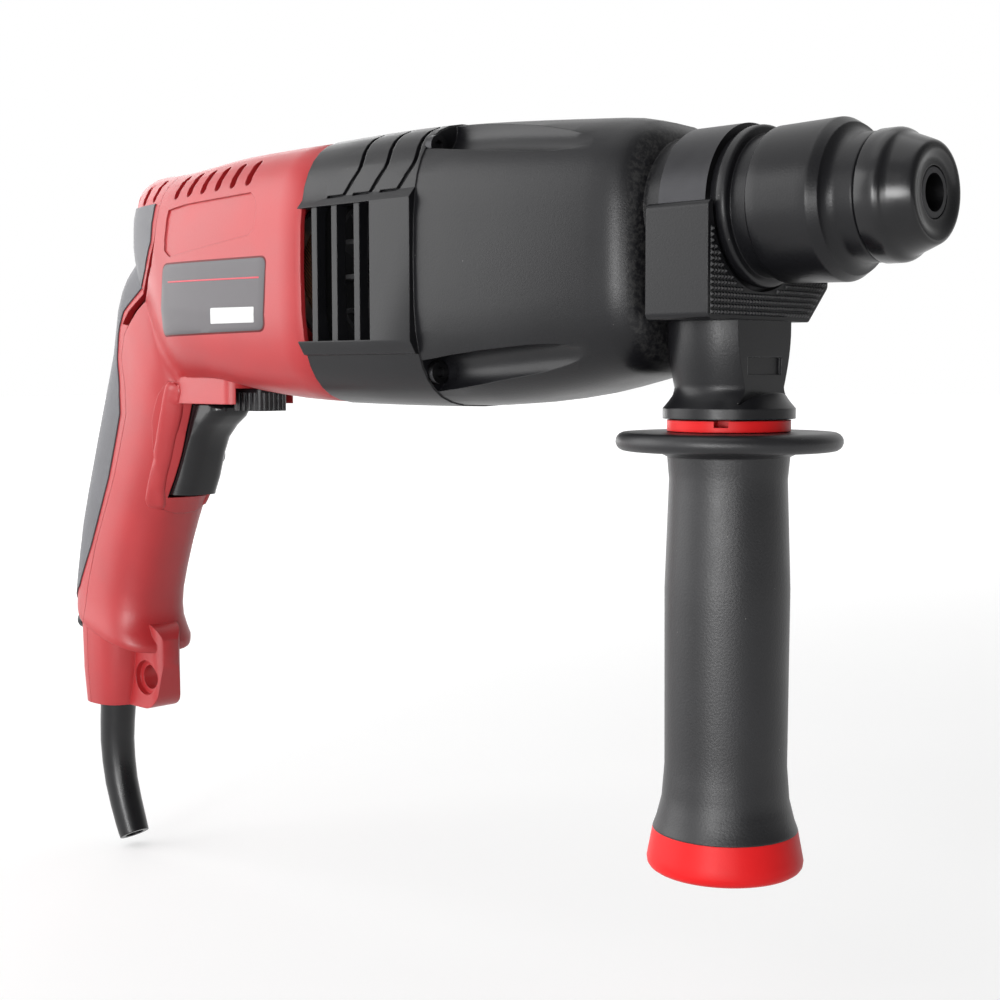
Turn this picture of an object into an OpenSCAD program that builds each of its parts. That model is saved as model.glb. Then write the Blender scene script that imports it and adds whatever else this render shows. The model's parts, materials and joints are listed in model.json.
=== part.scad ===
// Pistol-grip rotary hammer with a clamp-on side handle, built piece by piece.
// Millimetres. X runs out of the nose along the spindle axis, Z is up, Y is the tool's left.
// The origin is the mouth of the tool socket.

/* [Tool holder] */
// Bore that takes the shank of the bit
socket_d = 10.1; // [10:0.05:12.2]
// Depth of the shank bore
socket_depth = 40; // [36:1:44]
// Diameter of the dust cap at its rear rim
cap_d = 35.6; // [32:0.2:40]
// Length of the dust cap
cap_l = 14; // [12:0.5:16]
// Diameter of the locking sleeve
sleeve_d = 44.4; // [44:0.2:54]
// Length of the locking sleeve
sleeve_l = 30.6; // [28:0.2:36]
// Travel of the locking sleeve
sleeve_travel = 5; // [3:0.5:6]

/* [Housings] */
// Diameter of the neck that the side handle clamps on
neck_d = 43; // [40:0.5:52]
// Length of the neck
neck_l = 28; // [26:0.5:34]
// Length of the gear housing behind the neck
gear_l = 138; // [134:1:166]
// Width of the body
body_w = 69; // [66:1:84]
// Height of the body above the spindle axis
body_top = 33.5; // [32:0.5:41]
// Depth of the body below the spindle axis
body_bottom = 57; // [55:0.5:69]
// Width of the pistol grip
grip_w = 36; // [34:1:44]
// Wall of the moulded housings
wall = 3; // [2.5:0.1:3.6]
// Thickness of the soft pad on the grip
pad_t = 2.4; // [1.6:0.1:2.8]

/* [Hammer] */
// Bore of the hammer tube in which the piston runs
tube_d = 24; // [22:0.5:25]
// Stroke of the piston to each side of its middle
half_stroke = 5.8; // [4:0.1:6.5]
// Distance from the spindle axis down to the layshaft
lay_drop = 28; // [28:1:28]

/* [Gears] */
// Teeth of the spindle gear
spindle_z = 44; // [40:2:44]
// Teeth of the motor pinion
motor_z = 8; // [8:1:10]
// Teeth of the layshaft gear
lay_z = 37; // [35:2:37]
// Module of the motor pinion and the layshaft gear
motor_m = 0.75; // [0.7:0.01:0.8]

/* [Motor] */
// Diameter of the stator
stator_d = 55; // [50:0.5:57]
// Length of the lamination stacks
stack_l = 42; // [34:1:46]
// Diameter of the armature
armature_d = 33; // [28:0.5:35]
// Diameter of the fan
fan_d = 54; // [46:1:56]
// Number of fan blades
fan_blades = 14; // [9:1:20]

/* [Controls] */
// Width of the trigger
trigger_w = 18; // [14:0.5:20]
// Travel of the trigger
trigger_travel = 6; // [4:0.5:7]
// Swing of the direction lever to each side, in degrees
lever_swing = 12; // [8:1:14]
// Diameter of the mode knob
knob_d = 34; // [28:1:38]

/* [Side handle] */
// Length of the grip below its flange
side_grip_l = 115.5; // [90:0.5:140]
// Diameter of the grip
side_grip_d = 36; // [32:0.5:40]
// Diameter of the flange
flange_d = 65.8; // [56:0.2:72]
// Width of the clamp band along the neck
band_w = 16; // [13:0.5:18]
// Thickness of the clamp band
band_t = 2.2; // [1.6:0.1:2.6]

/* [Fits] */
// Radial clearance of a running shaft or slide
run = 0.05; // [0.02:0.01:0.1]
// Clearance between pieces that are pressed or bolted together
seat = 0.02; // [0.01:0.01:0.05]
// Gap between pieces that move past each other
gap = 0.4; // [0.3:0.05:0.5]

/* [Hidden] */
$fn = 48;

black = "#2b2b2e";
red = "#c4202c";
grey = "#58585c";
steel = "#a9abb0";
copper = "#b5683a";

// Stations along the tool
socket_r = socket_d / 2;
sleeve_x = -cap_l - 0.3;
sleeve_rear = sleeve_x - sleeve_l;
lip_x = sleeve_rear - sleeve_travel - gap;
lip_l = 3.5;
shoulder_x = lip_x - neck_l;
seam_x = shoulder_x - gear_l;
handle_x = lip_x - lip_l - 10.2;
sleeve_r = sleeve_d / 2;
skirt_r = sleeve_r - 1.6;
nose_r = skirt_r - gap;
neck_r = neck_d / 2;
lip_r = neck_r + 1.3;
half_w = body_w / 2;

// Spindle and hammer
mouth_r = 7;
chuck_r = 10;
journal_r = 12.5;
tube_r = tube_d / 2;
barrel_r = tube_r + 3;
spindle_bearing_r = 18.5;
bearing_x = lip_x - 9;
bearing_w = 7;
journal_x = bearing_x - 8;
barrel_x = shoulder_x - 45;
anvil_r = 7;
anvil_x = journal_x - 20;
ball_r = 3;
ball_x = -24;
pin_x = barrel_x - 11;
pin_r = 5.5;
finger_r = 3.5;
piston_front = anvil_x - 6 - half_stroke;
piston_back = piston_front - 27;
piston_wall = 3;
piston_in_r = tube_r - piston_wall;
striker_l = 17;
striker_x = piston_front + 1.6;
striker_nose = 4.5;
beat_x = anvil_x + 2.8;
beat_l = 39;

// Gear train
spindle_m = 1;
lay_pinion_z = 2 * lay_drop / spindle_m - spindle_z;
motor_axis = -lay_drop + motor_m * (lay_z + motor_z) / 2;
tip_share = 0.9;
root_share = 1.2;
backlash = 0.12;
gear_x = shoulder_x - 33;
gear_w = 12;
lay_gear_x = shoulder_x - 79;
lay_gear_w = 7;
lay_shaft_r = 5;
lay_front_x = shoulder_x - 12;
lay_front_r = 9.5;
lay_journal_r = 4;
lay_boss_r = 12.2;
lay_rear_r = 8;
lay_bearing_w = 7;
drum_r = 12;
ring_w = 11;

// Motor
bracket_x = shoulder_x - 83;
bracket_t = 15;
motor_bearing_r = 11;
motor_bearing_w = 7;
shaft_r = 4;
fan_x = seam_x + 9;
fan_w = 18;
stack_x = seam_x - 11;
coil_over = 11;
comm_x = stack_x - stack_l - 17;
comm_l = 13;
comm_r = 11.5;
rear_bearing_x = comm_x - comm_l - 3.5;
rear_bearing_w = 6;
rear_bearing_r = 9.5;
brush_x = comm_x - comm_l / 2;
brush_size = [7, 11, 6];

// Grip and controls
pad_proud = 0.5;
trigger_x = seam_x - 79;
trigger_top = -59;
trigger_bottom = -95.5;
stem_r = 3;
stem_z = -77;
switch_x = trigger_x - 40 - trigger_travel - 1;
switch_l = 19;
lever_x = seam_x - 89;
lever_z = [-58, -52.8];
lever_pin_r = 3;
lever_boss_r = 6;
lever_reach = 33;
button_at = [seam_x - 118, -80];
button_r = 5;
button_travel = 2.5;
eye_at = [seam_x - 134.5, -173];
eye_r = 5;
eye_rim_r = 7.2;
lug_t = 13;
lug_round = 6;
boot_x = seam_x - 165;
boot_r = 8.2;
cord_r = 4;
cord_x = seam_x - 150;
cord_z = [-141, -132];
foot_z = -186;
// Side offset, height, head seat and pilot start of the cover screws, back from the housing seam
cover_bosses = [[11, 18, 112, 76], [9.5, -152, 172, 140]];
screw_r = 2;
head_r = 3.6;
head_h = 2.6;
cover_boss_r = 5;
knob_at = [shoulder_x - 42, -14];
knob_shaft_r = 7;
knob_h = 11;
knob_y = half_w - 2;
screw_seat_x = shoulder_x - 84;

// Side handle
band_r = neck_r + run;
band_out_r = band_r + band_t;
block_half_x = 10.7;
block_near = neck_r + 4.5;
block_far = neck_r + 14;
block_slant = 10.5;
block_bottom = -neck_r - 10.5;
neck_top_z = block_bottom;
ring_z = block_bottom - 28;
ring_h = 3.6;
flange_z = ring_z - ring_h;
flange_t = 6;
cap_z = flange_z - flange_t - side_grip_l + 4;
cap_h = 12;
bolt_r = 4;

// Loft stations of the gear housing: share of its length behind the shoulder, then how far the
// top, the bottom and the side lie inside the full section
gear_stations = [
    [1, 0, 0, 1.5], [0.8, -0.3, -0.5, 1.5], [0.61, 0, -0.5, 1.7], [0.44, 1.3, 0.5, 2.2],
    [0.26, 3.2, 3.5, 3.2], [0.12, 4.8, 7.5, 4.6]
];
front_station = [5.6, 9, 5.4];
front_round = 10;
section_power = 3.2;
grip_power = 2.7;

// Chamfer of the motor housing at the seam: its length and depth
lip_back = 2.4;
lip_in = 1.3;

// Loft stations from the housing seam down to the foot of the grip: the outer line, the inner
// line, each as distance behind the seam and height, and the share of the grip's width
body_stations = [
    [lip_back, body_top, lip_back, -body_bottom, 0], [23, body_top, 23, 1 - body_bottom, 0.02],
    [48, body_top - 0.5, 48, 3.5 - body_bottom, 0.05],
    [68, body_top - 2, 66, 6.5 - body_bottom, 0.1],
    [86, body_top - 3, 77, 7 - body_bottom, 0.2],
    [103, body_top - 2.8, 85, 6 - body_bottom, 0.42],
    [119, body_top - 3.8, 90, 4 - body_bottom, 0.7],
    [127, body_top - 16, 93, -body_bottom, 0.92], [122, 7, 95, -61, 0.94],
    [132.5, -4, 97, -66, 0.88], [138.5, -14, 99, -71, 0.87], [144.5, -33, 102, -80, 0.95],
    [154, -57, 107, -90, 0.99], [163, -82, 114, -101, 1],
    [171.5, -108, 122, -117, 1], [176, -130, 130, -138, 0.99], [177, -140, 131, -150, 0.96],
    [176.5, -145, 127, -158.5, 0.91], [175.5, -147.5, 127.5, -162, 0.93]
];
foot_stations = [
    [174, -140, 140, -150, 1.04], [174, -172, 142, -172, 1.1], [173, foot_z, 146, foot_z, 1.18]
];

// Line of the seam between motor housing and rear cover, and front edge of the soft pad,
// as distance behind the housing seam and height
seam_line = [
    [88.5, body_top + 9], [88.5, 12], [89.5, 3], [94.5, -6], [105, -14], [116.7, -22], [121.3, -27],
    [121.9, -27.7], [125, -31], [128.7, -40], [127, -51], [127, -63], [137.2, -89],
    [152, -118], [158, -135], [161, -152],
    [162, -165], [162.5, foot_z - 9]
];
// The cover stands off along the waist, which leaves a cooling slit
slit = [0.15, 0.15, 0.6, 4.4, 6, 6, 5.6];
cover_line = [for (i = [0:len(seam_line) - 1]) seam_line[i] + [i < len(slit) ? slit[i] : 0.15, 0]];
pad_line = [
    [132, 18], [92.5, 17.5], [92.5, 12], [93.5, 3], [103, -6], [115.5, -14], [126.5, -22], [131.5, -31],
    [133, -40], [131.5, -51], [131.5, -63], [141, -89], [155, -118], [166, -136], [175, -143.5]
];

function spow(a, e) = sign(a) * pow(abs(a), e);
function mix(a, b, t) = a + (b - a) * t;
function spline(a, b, c, d, t) =
    ((2 * b) + (c - a) * t + (2 * a - 5 * b + 4 * c - d) * t * t
    + (3 * b - a - 3 * c + d) * t * t * t) / 2;
function refine(rows, k) = let (n = len(rows) - 1) [
    for (i = [0:n - 1], j = [0:k - 1])
        spline(rows[max(i - 1, 0)], rows[i], rows[i + 1], rows[min(i + 2, n)], j / k),
    rows[n]
];

// One closed section between an outer and an inner point of the XZ plane
function section(out, inn, w, power, inset, n) =
    let (mid = (out + inn) / 2, half = norm(out - inn) / 2, u = (out - inn) / (2 * half))
    [for (i = [0:n - 1]) let (
        t = 360 * i / n,
        a = spow(sin(t), 2 / power) * (half - inset),
        b = spow(cos(t), 2 / power) * (w - inset))
        [mid[0] + u[0] * a, b, mid[1] + u[1] * a]];

function body_section(s, inset, n) = section(
    [seam_x - s[0], s[1]], [seam_x - s[2], s[3]], mix(half_w, grip_w / 2, s[4]),
    mix(section_power, grip_power, min(s[4], 1)), inset, n);

function gear_section(s, inset, n) = section(
    [shoulder_x - s[0] * gear_l, body_top - s[1]], [shoulder_x - s[0] * gear_l, s[2] - body_bottom],
    half_w - s[3], section_power, inset, n);

// Rings of points joined into one closed skin, taken in the order that turns its faces outward
function total(v) = [for (p = v) 1] * v;
function ring_axis(r) = total([for (i = [0:len(r) - 1]) cross(r[i], r[(i + 1) % len(r)])]);
module loft(list) {
    n = len(list[0]);
    m = len(list) - 1;
    inverted = ring_axis(list[0]) * (total(list[m]) - total(list[0])) > 0;
    rings = inverted ? [for (k = [m:-1:0]) list[k]] : list;
    sides = [for (k = [0:m - 1], i = [0:n - 1], f = [0, 1]) let (
        a = k * n + i, b = k * n + (i + 1) % n)
        f == 0 ? [a, b, b + n] : [a, b + n, a + n]];
    polyhedron(
        [for (r = rings, p = r) p],
        concat([[for (i = [n - 1:-1:0]) i]], sides, [[for (i = [0:n - 1]) m * n + i]]));
}

// Round tube along points of the XZ plane, shifted to y
function tube_ring(p, dir, r, y, n) = [for (i = [0:n - 1]) let (t = -360 * i / n)
    [p[0] - dir[1] * r * cos(t), y + r * sin(t), p[1] + dir[0] * r * cos(t)]];

module tube_path(points, radii, n, y = 0) {
    last = len(points) - 1;
    loft([for (i = [0:last]) let (
        d = points[min(i + 1, last)] - points[max(i - 1, 0)])
        tube_ring(points[i], d / norm(d), radii[i], y, n)]);
}

// Free-form mouldings: their children become one skin
module skin() resize([0, 0, 0]) children();

module along_x(x, y = 0, z = 0) translate([x, y, z]) rotate([0, 90, 0]) children();
module along_y(x, y, z) translate([x, y, z]) rotate([-90, 0, 0]) children();
module xcyl(x0, x1, r, y = 0, z = 0) along_x(x0, y, z) cylinder(h = x1 - x0, r = r);
module xcone(x0, x1, r0, r1, y = 0, z = 0) along_x(x0, y, z) cylinder(h = x1 - x0, r1 = r0, r2 = r1);
module xtube(x0, x1, ri, ro, y = 0, z = 0) difference() {
    xcyl(x0, x1, ro, y, z);
    xcyl(x0 - 1, x1 + 1, ri, y, z);
}
// Solid of revolution about X from points of distance along X and radius
module xturn(points, z = 0) along_x(0, 0, z) rotate_extrude() polygon([for (p = points) [p[1], p[0]]]);
module zturn(points, x) translate([x, 0, 0]) rotate_extrude() polygon([for (p = points) [p[1], p[0]]]);
// Plate in the XZ plane, centred on Y
module side_plate(t) rotate([90, 0, 0]) linear_extrude(t, center = true) children();
module span(x0, x1, y0, y1, z0, z1) translate([x0, y0, z0]) cube([x1 - x0, y1 - y0, z1 - z0]);
module both_sides() {
    children();
    mirror([0, 1, 0]) children();
}

// Points of a quarter round, from angle a to b about [x, r]
function arc(x, r, rad, a, b, n = 6) = [for (i = [0:n]) let (t = mix(a, b, i / n))
    [x + rad * cos(t), r + rad * sin(t)]];

// Involute spur gear outline
function inv(a) = tan(a) * 180 / PI - a;
function tooth_half(r, pitch_r, base_r, z) =
    90 / z - backlash / 2 / pitch_r * 180 / PI + inv(20) - (r > base_r ? inv(acos(base_r / r)) : 0);
module spur(z, m) {
    pr = z * m / 2;
    br = pr * cos(20);
    tip = pr + m * tip_share;
    root = pr - m * root_share;
    flank = [for (i = [0:3]) mix(max(root, br), tip, i / 3)];
    polygon([for (k = [0:z - 1]) let (c = 360 * k / z) each concat(
        [let (a = c - tooth_half(flank[0], pr, br, z)) root * [cos(a), sin(a)]],
        [for (r = flank) let (a = c - tooth_half(r, pr, br, z)) r * [cos(a), sin(a)]],
        [for (i = [3:-1:0]) let (r = flank[i], a = c + tooth_half(r, pr, br, z)) r * [cos(a), sin(a)]],
        [let (a = c + tooth_half(flank[0], pr, br, z)) root * [cos(a), sin(a)]])]);
}
module xgear(x0, x1, z_teeth, m, z, phase = 0)
    along_x(x0, 0, z) rotate([0, 0, phase]) linear_extrude(x1 - x0) spur(z_teeth, m);

// Ball bearing: two races, a row of balls and their shield as one ring
module xbearing(x0, w, ri, ro, z = 0) {
    mid = (ri + ro) / 2;
    race = (ro - ri) * 0.28;
    xtube(x0, x0 + w, ri, ri + race, 0, z);
    xtube(x0, x0 + w, ro - race, ro, 0, z);
    xtube(x0 + 0.8, x0 + w - 0.8, ri + race, ro - race, 0, z);
}

// Coil spring drawn as a stack of rings on one axis, joined by a thin strip
module coil(l, r, wire, turns) {
    pitch = (l - wire) / (turns - 1);
    for (i = [0:turns - 1]) translate([0, 0, i * pitch + wire / 2])
        rotate_extrude() translate([r, 0]) circle(d = wire, $fn = 16);
    translate([r - wire * 0.3, -wire * 0.3, wire / 2]) cube([wire * 0.6, wire * 0.6, l - wire]);
}

module body_outer(inset = 0, drop = 0) {
    fine = inset <= 1;
    n = fine ? 36 : 24;
    rows = [for (i = [0:len(body_stations) - 1 - drop]) body_stations[i]];
    loft(concat([body_section(rows[0] - (lip_back - 0.05) * [1, 0, 1, 0, 0], inset + lip_in, n)],
        [for (s = refine(rows, 2)) body_section(s, inset, n)]));
}
module foot_outer(inset = 0) loft([for (s = foot_stations) body_section(s, inset, 32)]);
module lug_plate() intersection() {
    side_plate(lug_t) offset(r = 8) offset(delta = -8) polygon([for (p = [
        [165, -150], [126, -150], [125, -164], [128, foot_z], [165, foot_z]]) [seam_x - p[0], p[1]]]);
    translate([seam_x - 147, 0, foot_z - 1]) linear_extrude(40) offset(r = lug_round)
        square([45 - 2 * lug_round, lug_t - 2 * lug_round], center = true);
}
// Everything behind a line of the side view, out to the back of the tool
module behind(line) side_plate(4 * half_w) polygon(concat(
    [for (p = line) [seam_x - p[0], p[1]]],
    [[seam_x - 230, line[len(line) - 1][1]], [seam_x - 230, line[0][1]]]));

// Block over the trigger, which guides the direction lever
module bridge() translate([trigger_x, 0, trigger_top + 0.6]) linear_extrude(-45 - trigger_top)
    offset(r = 5) offset(delta = -5) polygon([[-38, 14], [18, 16.4], [18, -16.4], [-38, -14]]);
// Raised cheeks round the trigger, as distance behind the housing seam and height
frame_line = [
    [80, -50], [100.5, -50], [104.5, -55], [109.5, -65], [111.6, -77], [112, -84], [114, -92], [116, -100],
    [114, -105], [80, -105]
];
module trigger_frame() intersection() {
    body_outer(-0.7);
    side_plate(4 * half_w) polygon([for (p = frame_line) [seam_x - p[0], p[1]]]);
}
// Shallow panel pressed into the flanks below the slots
panel_line = [
    [80, 14], [68.7, 15.2], [28.4, 16.4], [25, 14], [23.6, 9.8], [24.2, 3.5], [27, 1.6],
    [56, -1.4], [77, -3.6], [81, -1]
];
module panels() difference() {
    side_plate(4 * half_w) polygon([for (p = panel_line) [seam_x - p[0], p[1]]]);
    body_outer(0.6);
}
module shell_outer() {
    body_outer();
    bridge();
    trigger_frame();
    foot_outer();
    lug_plate();
}
module shell_inner() {
    intersection() {
        body_outer(wall, 1);
        span(seam_x - 230, seam_x - wall - 2, -99, 99, -160, 99);
    }
    loft([body_section(body_stations[0] - (lip_back + 0.8) * [1, 0, 1, 0, 0], wall, 32),
        body_section(body_stations[1], wall, 32)]);
    intersection() {
        foot_outer(wall);
        span(seam_x - 230, seam_x, -99, 99, foot_z + 8, -150);
    }
}
// Cross walls that fill the shell at a station, for seats
module cross_wall(x0, x1) intersection() {
    body_outer(wall / 2);
    span(x0, x1, -99, 99, -52, 99);
}
module cord_post() span(cord_x + 0.02, cord_x + 24, -9, 9, cord_z[0], cord_z[1]);
// Cylinders on the axes of the cover screws
module cover_axes(from, r, to = 2, extra = 0) for (b = cover_bosses, s = [-1, 1])
    xcyl(seam_x - b[to] - extra, seam_x - b[from] + extra, r, s * b[0], b[1]);
// Air slots in a row from a distance behind the housing seam, cut in from the flanks
slot_r = 1.65;
slot_h = 6;
module air_slots(n, back, pitch, depth) both_sides() for (i = [0:n - 1])
    translate([seam_x - back + pitch * i, half_w - depth, body_top - 14.2 + 0.28 * i]) {
        span(-slot_r, slot_r, 0, depth + 6, 0, slot_h);
        for (z = [0, slot_h]) along_y(0, 0, z) cylinder(h = depth + 6, r = slot_r, $fn = 16);
    }

module motor_housing() color(red) union() {
    difference() {
        skin() difference() {
            union() {
                difference() {
                    shell_outer();
                    shell_inner();
                }
                cross_wall(rear_bearing_x - rear_bearing_w - 1, rear_bearing_x);
                cross_wall(stack_x - 6, stack_x - 2);
                cross_wall(stack_x - stack_l + 2, stack_x - stack_l + 6);
                lug_plate();
                intersection() {
                    body_outer(wall / 2);
                    union() {
                        cover_axes(3, cover_boss_r, 2, 12);
                        cord_post();
                    }
                }
            }
            behind(seam_line);
            span(trigger_x - 45, trigger_x + 30, -trigger_w / 2 - gap, trigger_w / 2 + gap,
                trigger_bottom - 1, trigger_top + 0.6);
            translate([lever_x, 0, lever_z[0] - 1]) linear_extrude(lever_z[1] + gap - lever_z[0] + 1)
                polygon([[-8, 8.5], [40, 15.5], [40, -15.5], [-8, -8.5]]);
            air_slots(6, 76.8, 9, 14);
            panels();
        }
        xcyl(rear_bearing_x - rear_bearing_w, seam_x, rear_bearing_r + seat, 0, motor_axis);
        xcyl(stack_x - stack_l - 1, seam_x, stator_d / 2 + seat, 0, motor_axis);
        cover_axes(3, screw_r + seat);
        gear_screw_holes(seam_x - 26, seam_x + 1, screw_r + seat);
        along_y(eye_at[0], -lug_t, eye_at[1]) cylinder(h = 2 * lug_t, r = eye_r);
        both_sides() along_y(eye_at[0], lug_t / 2 - 2.5, eye_at[1]) cylinder(h = 9, r = eye_rim_r);
        translate([boot_x, 0, foot_z - 1]) cylinder(h = 12, r = boot_r + seat);
        along_y(button_at[0], grip_w / 2 - 8, button_at[1]) cylinder(h = 16, r = button_r + run);
        along_y(button_at[0], 0, button_at[1]) cylinder(h = button_y[0] + 2.1, r = button_r + 2.3);
        translate([cord_x, 0, cord_z[0] - 1]) cylinder(h = 12, r = cord_r);
    }
    translate([lever_x, 0, lever_z[0]]) cylinder(h = 9, r = lever_pin_r);
}

module handle_cover() color(red) difference() {
    skin() difference() {
        union() {
            difference() {
                intersection() {
                    union() {
                        body_outer();
                        foot_outer();
                    }
                    behind(cover_line);
                }
                shell_inner();
            }
            intersection() {
                body_outer(wall / 2);
                cover_axes(3, cover_boss_r, 2, 12);
                behind(cover_line);
            }
        }
        difference() {
            behind([for (p = pad_line) p - [0.1, 0]]);
            body_outer(pad_t + 0.05);
        }
        air_slots(3, 116, 10, 17);
    }
    cover_axes(3, screw_r + 0.2, 2, 3);
    for (b = cover_bosses, s = [-1, 1]) xcyl(seam_x - 220, seam_x - b[2], head_r + 0.3, s * b[0], b[1]);
    translate([boot_x, 0, foot_z - 1]) cylinder(h = 12, r = boot_r + seat);
}

module grip_pad() color(grey) skin() difference() {
    intersection() {
        body_outer(-pad_proud);
        behind(pad_line);
    }
    body_outer(pad_t);
}

module gear_outer(inset = 0) {
    fine = inset <= 1;
    n = fine ? 40 : 28;
    round_steps = fine ? 3 : 1;
    loft(concat(
        fine ? [] : [gear_section(gear_stations[0] + [0.02, 0, 0, 0], inset, n)],
        [for (s = refine(gear_stations, fine ? 2 : 1)) gear_section(s, inset, n)],
        [for (i = [0:round_steps]) let (a = 90 * i / round_steps)
            gear_section(concat(front_round / gear_l * (1 - sin(a)), front_station),
                inset + front_round * (1 - cos(a)), n)]));
}
band_x = shoulder_x - 83.5;
// The rear part of the gear housing stands a little proud of the rest
module band() intersection() {
    gear_outer(-0.35);
    span(seam_x, band_x, -99, 99, -99, 99);
}
module raised_pads() both_sides() translate([0, half_w - 12, 0]) {
    translate([seam_x, 0, 0]) rotate([90, 0, 90]) linear_extrude(band_x - seam_x)
        polygon([[0, -42], [9.5, -40.5], [12, -36.5], [12, 8.5], [9.5, 11.5], [0, 14]]);
}
// Open vent at each side, crossed by upright slats
vent = [seam_x - 1, seam_x + 36, -36, 8.5];
slat_x = [for (b = [8, 18, 29]) seam_x + b];
module vents() both_sides() difference() {
    span(vent[0], vent[1], half_w - 9, half_w + 3, vent[2], vent[3]);
    for (x = slat_x) span(x - 1.3, x + 1.3, half_w - 8, half_w - 0.8, vent[2] - 1, vent[3] + 1);
}
// Tapering scoops along the four corners, which lead the screwdriver to the housing screws
// as rows of distance from the shoulder, side, height and radius
scoop_top = [
    [-83.2, half_w - 13.1, body_top - 2.6, 8.5], [-66, half_w - 10.7, body_top - 3.8, 8.4],
    [-50, half_w - 8.4, body_top - 5.3, 8.1], [-25, half_w - 4.8, body_top - 8.5, 7.4],
    [-13, half_w - 3.4, body_top - 9.9, 7.2]
];
scoop_low = [
    [-83.2, half_w - 9.5, 9.8 - body_bottom, 6.2], [-57.5, half_w - 6.3, 11.5 - body_bottom, 5.9],
    [-38, half_w - 5.5, 13 - body_bottom, 5.7], [-21, half_w - 4.7, 13.9 - body_bottom, 5.4],
    [-12, half_w - 4, 13.8 - body_bottom, 5.4]
];
scoop_wall = 2.2;
module scoop(rows, grow) both_sides() let (fine = refine(rows, 2)) loft([for (i = [0:len(fine) - 1])
    let (s = fine[i], r = s[3] + grow) [for (k = [0:23]) let (a = -15 * k)
        [shoulder_x + s[0] - (i == 0 ? grow : 0), s[1] + r * cos(a), s[2] + r * sin(a)]]]);
module scoops(grow = 0) {
    scoop(scoop_top, grow);
    scoop(scoop_low, grow);
}
// Wave grooves over the shoulder of the band: points from the foot up, back from its corner and
// below the top, and half the width of the groove there
wave = [
    [-8.1, 22, 0.45], [-0.6, 22, 0.45], [0.6, 21.3, 0.8], [3, 17.9, 0.95], [5.2, 14.4, 0.95],
    [5.7, 12.6, 0.95], [5.2, 10, 0.95], [4.2, 6.5, 0.95], [3.6, 3.4, 0.9], [4.4, 1.4, 0.7]
];
wave_x = [21, 33.7, 46.6];
function across(path, i) = let (
    a = path[max(i - 1, 0)], b = path[min(i + 1, len(path) - 1)],
    d = [b[0] - a[0], b[1] - a[1]]) [-d[1], d[0]] / norm(d);
module stroke(path) polygon(concat(
    [for (i = [0:len(path) - 1]) [path[i][0], path[i][1]] + path[i][2] * across(path, i)],
    [for (i = [len(path) - 1:-1:0]) [path[i][0], path[i][1]] - path[i][2] * across(path, i)]));
module wave_grooves() difference() {
    side_plate(2 * half_w + 4) for (x = wave_x)
        stroke([for (p = wave) [seam_x + x + p[0], body_top - p[1], p[2]]]);
    gear_outer(0.9);
    span(seam_x, shoulder_x, -8, 8, 0, body_top + 9);
}
module gear_screw_holes(x0, x1, r) for (s = [-1, 1]) {
    xcyl(x0, x1, r, s * (half_w - 11.5), body_top - 8.5);
    xcyl(x0, x1, r, s * (half_w - 11.5), 10.5 - body_bottom);
}

module gear_housing() color(black) difference() {
    union() {
        difference() {
            skin() difference() {
                union() {
                    gear_outer();
                    band();
                    raised_pads();
                }
                difference() {
                    gear_outer(wall);
                    span(shoulder_x - 6, shoulder_x + 1, -99, 99, -99, 99);
                    xcyl(lay_front_x - lay_bearing_w, shoulder_x, lay_boss_r, 0, -lay_drop);
                    scoops(scoop_wall);
                }
                scoops();
                vents();
                wave_grooves();
            }
            xcyl(lay_front_x - lay_bearing_w, lay_front_x, lay_front_r + seat, 0, -lay_drop);
        }
        xturn(concat([[shoulder_x - 4, 0], [shoulder_x - 4, neck_r], [lip_x - lip_l, neck_r]],
            arc(lip_x - lip_l + 0.8, lip_r - 0.8, 0.8, 180, 90, 3),
            arc(lip_x - 1.2, lip_r - 1.2, 1.2, 90, 0, 4),
            [[lip_x, nose_r], [sleeve_rear + 2.5, nose_r], [sleeve_rear + 2.5, 0]]));
    }
    xcyl(shoulder_x - 7, lip_x - 2, spindle_bearing_r + seat);
    xcyl(lip_x - 3, 0, spindle_bearing_r - 2);
    gear_screw_holes(seam_x - 1, screw_seat_x + 1, screw_r + 0.2);
    gear_screw_holes(screw_seat_x, screw_seat_x + 7, head_r + 0.3);
    along_y(knob_at[0], half_w - 16, knob_at[1]) cylinder(h = 20, r = knob_shaft_r + run);
}

// Bracket behind the gears: carries the spindle's rear end, the layshaft and the motor's front bearing
cradle_r = barrel_r + 3.5;
cradle_t = 3;
module gear_bracket() color(steel) difference() {
    back_x = bracket_x - bracket_t;
    union() {
        skin() difference() {
            intersection() {
                gear_outer(wall + seat);
                span(back_x, bracket_x, -99, 99, -99, 99);
            }
            scoops(scoop_wall + 0.05);
        }
        difference() {
            xtube(bracket_x - 1, barrel_x + 10, cradle_r, cradle_r + cradle_t);
            span(bracket_x - 2, barrel_x, -99, 99, -99, 0);
        }
        xtube(barrel_x, barrel_x + 10, barrel_r + run, cradle_r + cradle_t);
    }
    xcyl(back_x - 1, back_x + motor_bearing_w, motor_bearing_r + seat, 0, motor_axis);
    xcyl(back_x - 1, bracket_x + 1, shaft_r + 1.2, 0, motor_axis);
    xcyl(bracket_x - lay_bearing_w, bracket_x + 1, lay_rear_r + seat, 0, -lay_drop);
    gear_screw_holes(bracket_x - 40, bracket_x + 1, screw_r + 0.2);
    gear_screw_holes(screw_seat_x, bracket_x + 1, head_r + 0.3);
}

module air_baffle() color(black) difference() {
    skin() intersection() {
        gear_outer(wall + seat);
        span(seam_x + 2.5, seam_x + 5.5, -99, 99, -99, 99);
    }
    xcyl(seam_x + 2, seam_x + 6, fan_d / 2 - 6, 0, motor_axis);
    gear_screw_holes(seam_x + 2, seam_x + 6, screw_r + 0.2);
}

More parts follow.
